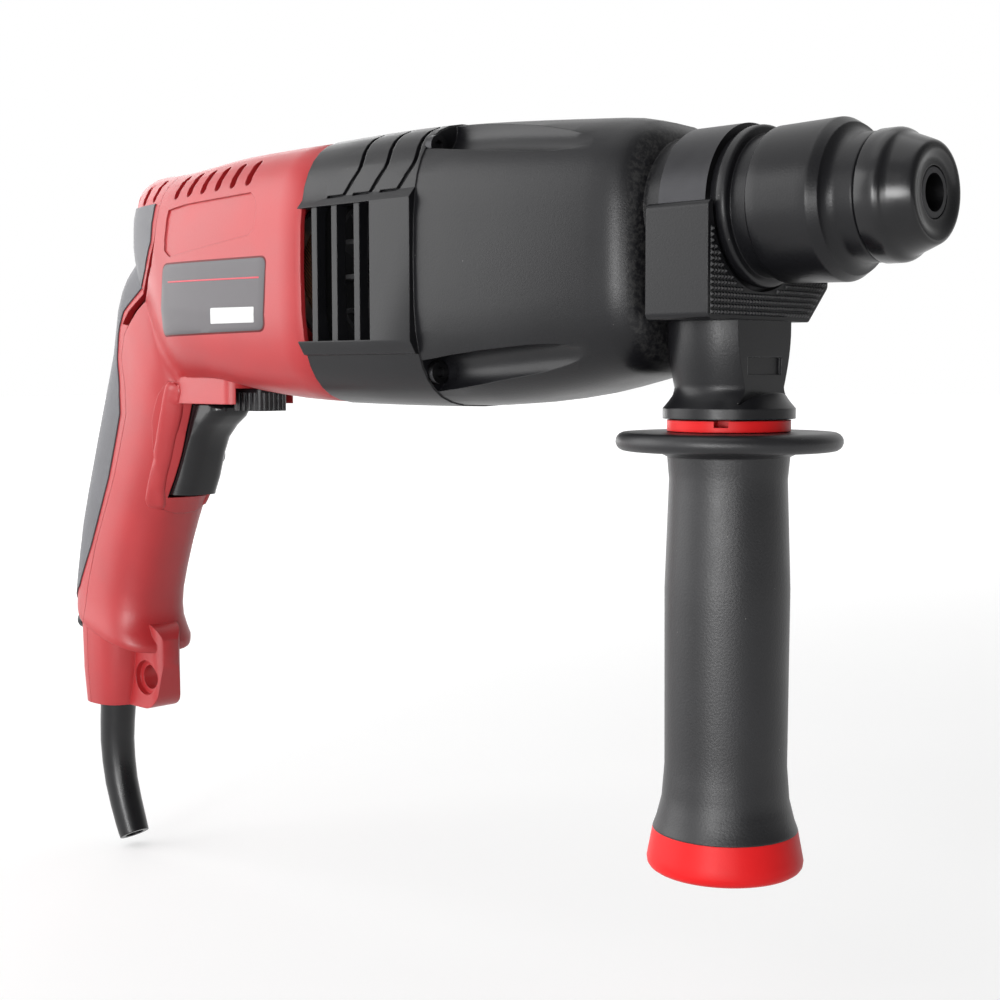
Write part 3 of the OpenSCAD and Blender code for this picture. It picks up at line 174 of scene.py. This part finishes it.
class Finish(Graph):
    """A procedural material on one Principled shader, with its patterns in object space."""

    def __init__(self, name, **constants):
        self.material = bpy.data.materials.new(name)
        self.material.use_nodes = True
        super().__init__(self.material.node_tree)
        self.shader = self.tree.nodes["Principled BSDF"]
        for key, value in constants.items():
            self.set(key.replace("_", " "), value)
        self.place = self.node("ShaderNodeTexCoord", output="Object")

    def set(self, socket, value):
        self.feed(self.shader.inputs[socket], value)

    def noise(self, size_mm, detail=2.0, rough=0.5):
        return self.node("ShaderNodeTexNoise", {}, {
            "Vector": self.place, "Scale": 1 / (size_mm * MM),
            "Detail": detail, "Roughness": rough})

    def mix(self, share, a, b):
        return self.node("ShaderNodeMix", {"data_type": "RGBA"}, {0: share, 6: a, 7: b}, output=2)

    def bump(self, height, depth_mm, normal=None):
        inputs = {"Height": height, "Strength": 1.0, "Distance": depth_mm * MM}
        if normal is not None:
            inputs["Normal"] = normal
        return self.node("ShaderNodeBump", {}, inputs)

    def specks(self, apart_mm, radius_mm):
        """1 on small round specks, one to about every second cell of that size."""
        cells = {"Vector": self.place, "Scale": 1 / (apart_mm * MM)}
        reach = self.node("ShaderNodeTexVoronoi", {}, cells, output="Distance") * apart_mm
        shade = self.node("ShaderNodeTexVoronoi", {}, cells, output="Color")
        lot = self.node("ShaderNodeSeparateColor", {}, {0: shade}, output="Red")
        return (1 - self.step(reach, radius_mm * 0.6, radius_mm)) * (lot > 0.5)

    def soft_edges(self, radius_mm):
        return self.node("ShaderNodeBevel", {"samples": 4}, {"Radius": radius_mm * MM})

    def edge_mask(self, rounded):
        """1 where the rounded normal leaves the surface's own, so at edges."""
        own = self.node("ShaderNodeNewGeometry", output="Normal")
        along = self.node("ShaderNodeVectorMath", {"operation": "DOT_PRODUCT"},
                          {0: rounded, 1: own}, output="Value")
        return self.step(1 - along, 0.015, 0.22)


def rgb(r, g, b):
    return (r, g, b, 1.0)


def tint(colour, times, plus=0.0):
    return rgb(*(min(1, c * times + plus) for c in colour))


def moulded(name, colour, rough, grain_mm=0.55, grain_depth=0.018, mottle=0.10, scuff=0.25,
            edge=1.25, round_mm=0.5, shine=0.5, dust=0.0, wear_and_highlight_ring=None):
    """Injection-moulded plastic: grain, faint flow mottle, rubbed edges, scuffs and dust; where a
    ring is given, a pale streaked band round the tool that is partly rubbed wear and partly a
    painted highlight.
    """
    f = Finish(name, Specular_IOR_Level=shine)
    rounded = f.soft_edges(round_mm)
    grain = f.noise(grain_mm, 1.0)
    flow = f.noise(FLOW_MM, 3.0)
    drawn = f.node("ShaderNodeMapping", {}, {
        "Vector": f.place, "Scale": (1, 6, 3), "Rotation": (0.3, 0.5, 0.2)})
    lines = f.node("ShaderNodeTexNoise", {}, {
        "Vector": drawn, "Scale": 260.0, "Detail": 4.0, "Roughness": 0.7})
    marks = f.step(lines, 0.66, 0.74) * f.step(f.noise(SCUFF_PATCH_MM), 0.48, 0.62)
    rubbed = f.edge_mask(rounded) * f.step(f.noise(WEAR_PATCH_MM, 3.0), 0.35, 0.7)
    tone = f.mix(f.step(flow, 0.3, 0.7), tint(colour, 1 - mottle), tint(colour, 1 + mottle))
    worn = f.mix(rubbed * 0.8 + marks * scuff, tone, tint(colour, edge, 0.012))
    if dust:
        worn = f.mix(f.specks(*DUST_ON_PLASTIC) * dust, worn, rgb(0.32, 0.31, 0.30))
    # Pale streaked ring round the front shoulder: partly rubbed wear, partly a painted highlight
    # standing in for front light on the shoulder's curve.
    if wear_and_highlight_ring:
        along = f.part_of(f.place, "X") / MM
        back, front = wear_and_highlight_ring
        ring = f.step(along, back - 1.5, back + 1) * (1 - f.step(along, front - 1, front + 1.5))
        streaks = f.step(f.noise(1.4, 4.0, 0.7), 0.40, 0.66)
        worn = f.mix(ring * streaks * 0.5, worn, rgb(0.05, 0.049, 0.048))
    f.set("Base Color", worn)
    f.set("Roughness", rough + (flow - 0.5) * 0.14 + (grain - 0.5) * 0.08 - rubbed * 0.08)
    f.set("Normal", f.bump(grain, grain_depth, rounded))
    return f.material


def rubbery(name, colour, rough, pebble_mm, depth, bloom=0.35, shine=0.5, dust=0.0):
    """Soft rubber: pebbled skin with a little pale bloom in its hollows."""
    f = Finish(name, Specular_IOR_Level=shine)
    rounded = f.soft_edges(0.7)
    pebble = f.node("ShaderNodeTexVoronoi", {"feature": "SMOOTH_F1"}, {
        "Vector": f.place, "Scale": 1 / (pebble_mm * MM), "Smoothness": 0.4}, output="Distance")
    fine = f.noise(pebble_mm * 0.6)
    cloud = f.noise(BLOOM_PATCH_MM, 3.0)
    hollows = f.step(fine, 0.62, 0.74) * f.step(cloud, 0.35, 0.65)
    tone = f.mix(f.step(cloud, 0.3, 0.7), tint(colour, 0.88), tint(colour, 1.1))
    skin = f.mix(hollows * bloom, tone, tint(colour, 1.9, 0.012))
    if dust:
        skin = f.mix(f.specks(*DUST_ON_RUBBER) * dust, skin, rgb(0.34, 0.33, 0.31))
    f.set("Base Color", skin)
    f.set("Roughness", rough + (cloud - 0.5) * 0.16 + hollows * 0.1)
    f.set("Normal", f.bump(pebble + fine * 0.5, depth, rounded))
    return f.material


def glossy(name, colour, rough, streak=0.05, shine=0.5):
    """Polished plastic with faint wipe marks."""
    f = Finish(name, Specular_IOR_Level=shine)
    rounded = f.soft_edges(0.5)
    smear = f.noise(WIPE_MM, 4.0, 0.6)
    f.set("Base Color", f.mix(f.step(smear, 0.3, 0.75), rgb(*colour), tint(colour, 1.15, 0.003)))
    f.set("Roughness", rough + (smear - 0.5) * streak * 2)
    f.set("Normal", f.bump(f.noise(POLISH_MM, 1.0), 0.004, rounded))
    return f.material


def machined(name, colour, rough, stretch=(1, 30, 30), line_mm=3.0):
    """Turned or ground metal: fine lines round the tool's axis and a thin film of oil."""
    f = Finish(name, Metallic=1.0)
    drawn = f.node("ShaderNodeMapping", {}, {"Vector": f.place, "Scale": stretch})
    lines = f.node("ShaderNodeTexNoise", {}, {
        "Vector": drawn, "Scale": 1 / (line_mm * MM), "Detail": 3.0})
    film = f.noise(OIL_FILM_MM, 3.0)
    f.set("Base Color", f.mix(f.step(film, 0.3, 0.7), tint(colour, 0.85), rgb(*colour)))
    f.set("Roughness", rough + (lines - 0.5) * 0.18 + (film - 0.5) * 0.1)
    f.set("Normal", f.bump(lines, 0.01))
    return f.material


def stacked(name, colour, sheet_mm):
    """Iron sheets stacked along the tool, with varnish between them."""
    f = Finish(name, Metallic=0.8)
    sheets = f.part_of(f.place, "X") / (sheet_mm * MM)
    turn = f.node("ShaderNodeMath", {"operation": "FRACT"}, {0: sheets})
    gap = f.step(turn, 0.75, 0.85) * (1 - f.step(turn, 0.9, 1.0))
    f.set("Base Color", f.mix(gap, rgb(*colour), tint(colour, 0.35)))
    f.set("Roughness", 0.45 + gap * 0.3)
    f.set("Normal", f.bump(1 - gap, 0.05))
    return f.material


def wound(name, colour, wire_mm):
    """Varnished copper wire laid side by side along the tool."""
    f = Finish(name, Metallic=0.9, Coat_Weight=0.4)
    lay = f.node("ShaderNodeTexWave", {"wave_type": "BANDS", "bands_direction": "DIAGONAL"}, {
        "Vector": f.place, "Scale": 0.32 / (wire_mm * MM), "Distortion": 0.6, "Detail": 1.0})
    f.set("Base Color", f.mix(lay, tint(colour, 0.5), rgb(*colour)))
    f.set("Roughness", 0.32 + (1 - lay) * 0.25)
    f.set("Normal", f.bump(lay, wire_mm * 0.3))
    return f.material


# Black moulding of the gear housing and of the pieces round it
BLACK = {"colour": (0.006, 0.006, 0.0072), "rough": 0.34, "grain_depth": 0.03, "edge": 2.6,
         "shine": 0.3, "dust": 0.6}

FINISHES = {
    "red_housing": moulded("red_moulding", (0.42, 0.020, 0.024), 0.40, grain_depth=0.035,
                           scuff=0.12, edge=0.9, mottle=0.05, shine=0.6),
    "black_housing": moulded("black_moulding", **BLACK),
    "inner_plastic": moulded("inner_moulding", (0.02, 0.02, 0.021), 0.5, edge=1.4, shine=0.3),
    "fan_plastic": moulded("fan_moulding", (0.014, 0.014, 0.015), 0.45, edge=1.3, mottle=0.05,
                           shine=0.2),
    "soft_grey": rubbery("soft_pad", (0.105, 0.105, 0.115), 0.55, 0.8, 0.05),
    "black_rubber": rubbery("black_rubber", (0.009, 0.009, 0.0105), 0.42, 0.7, 0.03, dust=0.6),
    "gloss_black": glossy("gloss_black", (0.005, 0.005, 0.006), 0.14, shine=0.35),
    "red_plastic": moulded("red_satin", (0.74, 0.014, 0.016), 0.42, scuff=0.1, edge=0.9,
                           mottle=0.05, shine=0.2),
    "black_steel": machined("blackened_band", (0.05, 0.05, 0.053), 0.42),
    "aluminium": machined("cast_aluminium", (0.62, 0.63, 0.65), 0.42, (6, 6, 6)),
    "laminations": stacked("laminations", (0.30, 0.30, 0.31), 0.7),
    "copper": wound("winding_wire", (0.72, 0.36, 0.19), 0.7),
    "carbon": rubbery("carbon", (0.03, 0.03, 0.032), 0.5, 0.5, 0.01),
    "steel": machined("ground_steel", (0.56, 0.56, 0.58), 0.28),
}

# Pieces whose finish differs a little from the rest of their material slot
OWN_FINISH = {
    # The gear housing's pale ring at its front shoulder is partly rubbed wear and partly a painted
    # highlight.
    "gear_housing": moulded("gear_moulding", **BLACK, wear_and_highlight_ring=(-81.5, -78.0)),
    "dust_cap": glossy("cap_rubber", (0.004, 0.004, 0.005), 0.24, 0.08, shine=0.4),
    "cord_boot": glossy("boot_rubber", (0.004, 0.004, 0.005), 0.30, 0.08, shine=0.4),
}

BODY_OF = {node: body for body, nodes in frame["record"]["behaviour"]["bodies"].items()
           for node in nodes}
SLOT_OF = {part["node"]: part["material_slot"] for part in frame["record"]["subparts"]}


def add_piece(name, mesh, body, material):
    mesh.materials.clear()
    mesh.materials.append(material)
    piece = bpy.data.objects.new(name, mesh)
    bpy.context.collection.objects.link(piece)
    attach(piece, body)
    return piece


def smoothed(mesh, sharp_angle):
    mesh.shade_smooth()
    mesh.set_sharp_from_angle(angle=math.radians(sharp_angle))
    return mesh


def shared_mesh(node, name):
    """A CAD node's faces with their corners joined, so that its curves can be shaded smooth."""
    work = bmesh.new()
    work.from_mesh(frame["nodes"][node].data)
    bmesh.ops.remove_doubles(work, verts=work.verts, dist=0.002 * MM)
    bmesh.ops.dissolve_degenerate(work, edges=work.edges, dist=0.001 * MM)
    work.verts.index_update()
    mesh = bpy.data.meshes.new(name)
    mesh.from_pydata([v.co.copy() for v in work.verts], [],
                     [[v.index for v in f.verts] for f in work.faces])
    work.free()
    return mesh


def smooth_piece(node, angle):
    name, slot = node + "_skin", SLOT_OF[node]
    mesh = smoothed(shared_mesh(node, name), angle)
    piece = add_piece(name, mesh, BODY_OF[node], OWN_FINISH.get(node, FINISHES[slot]))
    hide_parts(node)
    return piece


# Every CAD node as a smooth piece; the angle is where an edge stays sharp
USUAL_EDGE_ANGLE = 30
EDGE_ANGLES = {"motor_housing": 34, "handle_cover": 34, "gear_housing": 34, "grip_pad": 40,
               "cord_boot": 40, "trigger": 40}
pieces = {node: smooth_piece(node, EDGE_ANGLES.get(node, USUAL_EDGE_ANGLE))
          for node in frame["nodes"]}

# Rays that find a flank start this far out, in metres
OUTSIDE = 0.2


def surface_of(piece):
    work = bmesh.new()
    work.from_mesh(piece.data)
    tree = BVHTree.FromBMesh(work)
    work.free()
    return tree


def bridge(work, rows):
    """Quads between closed rows of points."""
    count = len(rows[0])
    for lower, upper in zip(rows, rows[1:]):
        for i in range(count):
            j = (i + 1) % count
            work.faces.new((lower[i], lower[j], upper[j], upper[i]))


def closed_mesh(work, name, sharp_angle):
    bmesh.ops.recalc_face_normals(work, faces=work.faces)
    mesh = bpy.data.meshes.new(name)
    work.to_mesh(mesh)
    work.free()
    return smoothed(mesh, sharp_angle)


def rounded_outline(corners, radius, turn_steps=6, spacing_mm=1.5):
    """Outline through four corners of the side view with rounded turns, in millimetres."""
    turn = []
    for before, at, after in zip(corners[-1:] + corners[:-1], corners, corners[1:] + corners[:1]):
        at = Vector(at)
        start = at + (Vector(before) - at).normalized() * radius
        end = at + (Vector(after) - at).normalized() * radius
        for i in range(turn_steps + 1):
            s = i / turn_steps
            turn.append(start * (1 - s) ** 2 + at * 2 * s * (1 - s) + end * s ** 2)
    outline = []
    for here, there in zip(turn, turn[1:] + turn[:1]):
        cuts = max(1, round((there - here).length / spacing_mm))
        outline += [tuple(here.lerp(there, i / cuts)) for i in range(cuts)]
    return outline


# A plate's rings from its rim to its middle, and how its foot is sunk and its rim eased, in mm
PLATE_RINGS = (0.985, 0.88, 0.76, 0.64, 0.52, 0.4, 0.28, 0.14)
PLATE_SINK = 0.3
PLATE_EASE = 0.12


def plate_on(surface, outline, lift_mm, thick_mm):
    """A thin plate that follows the tool's right flank inside an outline of the side view."""
    cx = sum(p[0] for p in outline) / len(outline)
    cz = sum(p[1] for p in outline) / len(outline)
    top = lift_mm + thick_mm
    work = bmesh.new()

    def on_flank(x, z, lift):
        start = Vector((x * MM, -OUTSIDE, z * MM))
        hit, normal, _, _ = surface.ray_cast(start, Vector((0, 1, 0)))
        return work.verts.new(hit + normal * (lift * MM))

    rows = [[on_flank(x, z, lift_mm - PLATE_SINK) for x, z in outline],
            [on_flank(x, z, top - PLATE_EASE) for x, z in outline]]
    for share in PLATE_RINGS:
        rows.append([on_flank(cx + (x - cx) * share, cz + (z - cz) * share, top)
                     for x, z in outline])
    middle = on_flank(cx, cz, top)
    bridge(work, rows)
    inner = rows[-1]
    for here, there in zip(inner, inner[1:] + inner[:1]):
        work.faces.new((here, there, middle))
    work.faces.new(list(reversed(rows[0])))
    return closed_mesh(work, "plate", 35)


# Blank rating plate on the right flank, over a dark red sheet whose rim is a painted shadow line
# where a recess would be shaded; corners in the side view, in mm
PLATE = [(-233.5, -6.7), (-297.6, -6.3), (-305.5, -32.4), (-236.3, -31.7)]
PLATE_SHADOW_LINE = [(-232.8, -6.0), (-298.3, -5.6), (-306.3, -33.1), (-235.5, -32.4)]
PLATE_RULE = [(-237.1, -13.2), (-294.6, -12.5), (-294.7, -13.1), (-237.1, -13.8)]
PLATE_BLANK = [(-240.5, -23.5), (-266.3, -23.2), (-267.2, -28.9), (-241.1, -29.0)]
plate_finish = moulded("plate_film", (0.115, 0.108, 0.115), 0.42, grain_mm=0.3,
                       grain_depth=0.004, mottle=0.04, scuff=0.1, edge=1.1, shine=0.3)
# Dark red sheet a little larger than the plate, laid flat on the flank: its rim is a painted shadow
# line round the plate.
shadow_line_finish = moulded("plate_shadow_line", (0.13, 0.006, 0.008), 0.5, scuff=0.1, edge=1.0, shine=0.3)
blank_finish = moulded("plate_white", (0.72, 0.72, 0.72), 0.45, grain_mm=0.3,
                       grain_depth=0.003, mottle=0.03, scuff=0.05, edge=1.0, shine=0.3)
rule_finish = glossy("plate_rule", (0.60, 0.045, 0.07), 0.35)
flank = surface_of(pieces["motor_housing"])
# The first sheet is the painted shadow line round the plate.
for name, corners, radius, lift, thick, material in (
        ("rating_shadow_line", PLATE_SHADOW_LINE, 3.4, 0.0, 0.08, shadow_line_finish),
        ("rating_plate", PLATE, 3.0, 0.05, 0.2, plate_finish),
        ("rating_rule", PLATE_RULE, 0.25, 0.22, 0.1, rule_finish),
        ("rating_blank", PLATE_BLANK, 0.5, 0.22, 0.1, blank_finish)):
    mesh = plate_on(flank, rounded_outline(corners, radius), lift, thick)
    add_piece(name, mesh, "housing", material)

# Section of a bead: places across its width, and shares of its height or, below 0, its sink in mm
BEAD_SECTION = [(-0.5, -0.5), (-0.46, 0.45), (-0.36, 0.9), (-0.15, 1.0),
                (0.15, 1.0), (0.36, 0.9), (0.46, 0.45), (0.5, -0.5)]
# Over the opening, where no ray lands, the nearest wall is looked for this far out, in metres
WALL_SEARCH = 0.012


def smooth_path(corners, steps=6):
    """Points of a smooth curve through all the corners."""
    points = [Vector(p) for p in corners]
    last = len(points) - 1
    line = []
    for i in range(last):
        p0, p1, p2, p3 = (points[max(0, min(last, i + k))] for k in (-1, 0, 1, 2))
        for j in range(steps):
            s = j / steps
            line.append(0.5 * (2 * p1 + (p2 - p0) * s + (2 * p0 - 5 * p1 + 4 * p2 - p3) * s ** 2
                               + (3 * p1 - p0 - 3 * p2 + p3) * s ** 3))
    return line + [points[-1]]


def raised_band(surface, path, side, width_mm, height_mm):
    """A rounded bead along a path of the side view; side is -1 on the right, 1 on the left."""
    line = smooth_path(path)
    last = len(line) - 1
    work = bmesh.new()
    rows = []
    for i, spot in enumerate(line):
        run = (line[min(i + 1, last)] - line[max(i - 1, 0)]).normalized()
        end = min(1.0, 0.1 + min(i, last - i) / 3)
        row = []
        for share, rise in BEAD_SECTION:
            at = spot + Vector((-run.y, run.x)) * share * width_mm * (0.6 + 0.4 * end)
            start = Vector((at.x * MM, side * OUTSIDE, at.y * MM))
            hit, normal, _, _ = surface.ray_cast(start, Vector((0, -side, 0)))
            if hit is None:
                near = Vector((at.x * MM, side * WALL_SEARCH, at.y * MM))
                hit, normal, _, _ = surface.find_nearest(near)
            lift = height_mm * end * rise if rise > 0 else rise
            row.append(work.verts.new(hit + normal * (lift * MM)))
        rows.append(row)
    bridge(work, rows)
    work.faces.new(rows[0])
    work.faces.new(rows[-1])
    return closed_mesh(work, "band", 60)


# Raised frame round the trigger, on both flanks of the grip, in millimetres
TRIGGER_FRAME = [(-313.5, -50.5), (-315.5, -56), (-317.6, -62.5), (-321, -70.5), (-324.6, -79),
                 (-328.6, -87), (-332, -94.5), (-334.5, -101)]
FRAME_WIDTH = 6.8
FRAME_HEIGHT = 0.9
for name, side in (("trigger_frame_right", -1), ("trigger_frame_left", 1)):
    mesh = raised_band(flank, TRIGGER_FRAME, side, FRAME_WIDTH, FRAME_HEIGHT)
    add_piece(name, mesh, "housing", FINISHES["red_housing"])


def pyramid_field():
    """Geometry Nodes tree: rows of small pyramids on the front face of the clamp block."""
    tree = bpy.data.node_groups.new("pyramid_field", "GeometryNodeTree")
    face = tree.interface
    face.new_socket("Geometry", in_out="OUTPUT", socket_type="NodeSocketGeometry")
    for label in ("Face X", "Near", "Far", "Bottom", "Top", "Slant", "Band Radius", "Pitch",
                  "Height"):
        face.new_socket(label, in_out="INPUT", socket_type="NodeSocketFloat")
    face.new_socket("Finish", in_out="INPUT", socket_type="NodeSocketMaterial")
    g = Graph(tree)
    entry = tree.nodes.new("NodeGroupInput")
    given = {s.name: Wire(g, s) for s in entry.outputs if s.name}
    near, far, bottom, top = (given[k] for k in ("Near", "Far", "Bottom", "Top"))
    wide, tall, pitch, radius = far - near, top - bottom, given["Pitch"], given["Band Radius"]
    to_front = (math.pi / 2, 0, math.pi / 2)
    grid = g.node("GeometryNodeMeshGrid", {}, {
        "Size X": wide, "Size Y": tall, "Vertices X": wide / pitch, "Vertices Y": tall / pitch})
    centre = g.node("ShaderNodeCombineXYZ", {}, {
        "X": given["Face X"], "Y": (far + near) * 0.5, "Z": (top + bottom) * 0.5})
    stood = g.node("GeometryNodeTransform", {}, {
        "Geometry": grid, "Translation": centre, "Rotation": to_front})
    points = g.node("GeometryNodeMeshToPoints", {}, {"Mesh": stood})
    spot = g.node("GeometryNodeInputPosition")
    y, z = g.part_of(spot, "Y"), g.part_of(spot, "Z")
    in_band = (y * y + z * z) < radius * radius
    past_slant = (y - z) > given["Slant"]
    kept = g.node("GeometryNodeDeleteGeometry", {"domain": "POINT"}, {
        "Geometry": points, "Selection": in_band + past_slant})
    pyramid = g.node("GeometryNodeMeshCone", {"fill_type": "NONE"}, {
        "Vertices": 4, "Radius Top": pitch * 0.16, "Radius Bottom": pitch * 0.70,
        "Depth": given["Height"]})
    turned = g.node("GeometryNodeTransform", {}, {
        "Geometry": pyramid, "Rotation": (0, 0, math.pi / 4)})
    rows = g.node("GeometryNodeInstanceOnPoints", {}, {
        "Points": kept, "Instance": turned, "Rotation": Euler(to_front)})
    solid = g.node("GeometryNodeRealizeInstances", {}, {"Geometry": rows})
    painted = g.node("GeometryNodeSetMaterial", {}, {
        "Geometry": solid, "Material": given["Finish"]})
    exit_node = tree.nodes.new("NodeGroupOutput")
    tree.links.new(painted.socket, exit_node.inputs[0])
    return tree


def grown(name, tree, sizes):
    """Evaluates a Geometry Nodes tree with these sizes into one plain mesh."""
    host = bpy.data.objects.new(name, bpy.data.meshes.new(name))
    bpy.context.collection.objects.link(host)
    maker = host.modifiers.new("make", "NODES")
    maker.node_group = tree
    for socket in tree.interface.items_tree:
        if socket.in_out == "INPUT":
            maker[socket.identifier] = sizes[socket.name]
    ready = host.evaluated_get(bpy.context.evaluated_depsgraph_get())
    mesh = bpy.data.meshes.new_from_object(ready)
    bpy.data.objects.remove(host)
    return mesh


# Gripping grid on the front of the clamp block: pyramids and the margins round them, in mm
PYRAMID_PITCH = 1.5
PYRAMID_HEIGHT = 0.8
GRID_MARGIN = 2
GRID_TOP_MARGIN = 1.5
GRID_SLANT_CUT = 12.5
GRID_BAND_MARGIN = 1.3
block_low, block_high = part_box("clamp_block")
band_low, band_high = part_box("clamp_band")
grid_mesh = grown("grip_grid", pyramid_field(), {
    "Face X": block_high[0],
    "Near": block_low[1] + GRID_MARGIN * MM, "Far": block_high[1] - GRID_MARGIN * MM,
    "Bottom": block_low[2] + GRID_MARGIN * MM, "Top": block_high[2] - GRID_TOP_MARGIN * MM,
    "Slant": block_high[1] - block_low[2] - GRID_SLANT_CUT * MM,
    "Band Radius": band_high[2] + GRID_BAND_MARGIN * MM,
    "Pitch": PYRAMID_PITCH * MM, "Height": PYRAMID_HEIGHT * MM,
    "Finish": FINISHES["black_housing"]})
add_piece("grip_grid", grid_mesh, "side_handle", FINISHES["black_housing"])


# Studio
def add_camera():
    lens = bpy.data.cameras.new("camera")
    lens.lens, lens.sensor_width = CAMERA_LENS, SENSOR_WIDTH
    lens.clip_start, lens.clip_end = CLIP_M
    eye = bpy.data.objects.new("camera", lens)
    eye.location = Vector(CAMERA_AT) * MM
    aim = Euler((math.radians(90 - CAMERA_DIP), 0, math.radians(CAMERA_TURN))).to_matrix()
    roll = Euler((0, 0, math.radians(CAMERA_ROLL))).to_matrix()
    eye.rotation_euler = (aim @ roll).to_euler()
    bpy.context.collection.objects.link(eye)
    bpy.context.scene.camera = eye


def add_soft_box(name, at, size, face):
    lamp = bpy.data.lights.new(name, "AREA")
    lamp.shape, lamp.size, lamp.size_y = "RECTANGLE", size[0] * MM, size[1] * MM
    lamp.energy = face * math.pi * lamp.size * lamp.size_y
    stand = bpy.data.objects.new(name, lamp)
    stand.location = Vector(at) * MM
    stand.rotation_euler = (Vector(AIM) * MM - stand.location).to_track_quat("-Z", "Y").to_euler()
    bpy.context.collection.objects.link(stand)


def shows_backdrop(graph):
    """1 for rays that show the white backdrop: the camera's own, mirrored and refracted ones."""
    own, mirrored, refracted = (
        graph.node("ShaderNodeLightPath", output=kind)
        for kind in ("Is Camera Ray", "Is Glossy Ray", "Is Transmission Ray"))
    return own + mirrored + refracted


def add_floor():
    mesh = bpy.data.meshes.new("floor")
    half, level = FLOOR_HALF, cad_box[0][2] - FLOOR_DROP
    corners = [(-half, -half, level), (half, -half, level), (half, half, level),
               (-half, half, level)]
    mesh.from_pydata(corners, [], [(0, 1, 2, 3)])
    floor = bpy.data.objects.new("floor", mesh)
    bpy.context.collection.objects.link(floor)
    f = Finish("floor_paper", Roughness=0.9, Specular_IOR_Level=0.1, Emission_Strength=1.0)
    f.set("Base Color", f.mix(f.noise(PAPER_MM), rgb(0.49, 0.49, 0.49), rgb(0.51, 0.51, 0.51)))
    reach = f.node("ShaderNodeVectorMath", {"operation": "LENGTH"}, {0: f.place}, output="Value")
    glow = f.mix(f.step(reach, *GLOW_REACH), rgb(GLOW_NEAR, GLOW_NEAR, GLOW_NEAR), rgb(1, 1, 1))
    f.set("Emission Color", f.mix(shows_backdrop(f), rgb(0, 0, 0), glow))
    mesh.materials.append(f.material)


def add_world():
    world = bpy.data.worlds.new("studio")
    bpy.context.scene.world = world
    world.use_nodes = True
    g = Graph(world.node_tree)
    seen = shows_backdrop(g)
    lights = 1 - g.node("ShaderNodeLightPath", output="Is Camera Ray")
    heading = g.part_of(g.node("ShaderNodeTexCoord", output="Generated"), "X")
    dim = g.step(heading, *DIM_OVER, NOSE_SIDE_DIM)
    back = world.node_tree.nodes["Background"]
    back.inputs["Color"].default_value = rgb(1, 1, 1)
    strength = (seen * (1 - AMBIENT) + AMBIENT) * (1 - lights * dim)
    g.feed(back.inputs["Strength"], strength)


add_camera()
for box_name, (at, size, face) in SOFT_BOXES.items():
    add_soft_box(box_name, at, size, face)
add_floor()
add_world()
bpy.context.scene.view_settings.view_transform = "Standard"
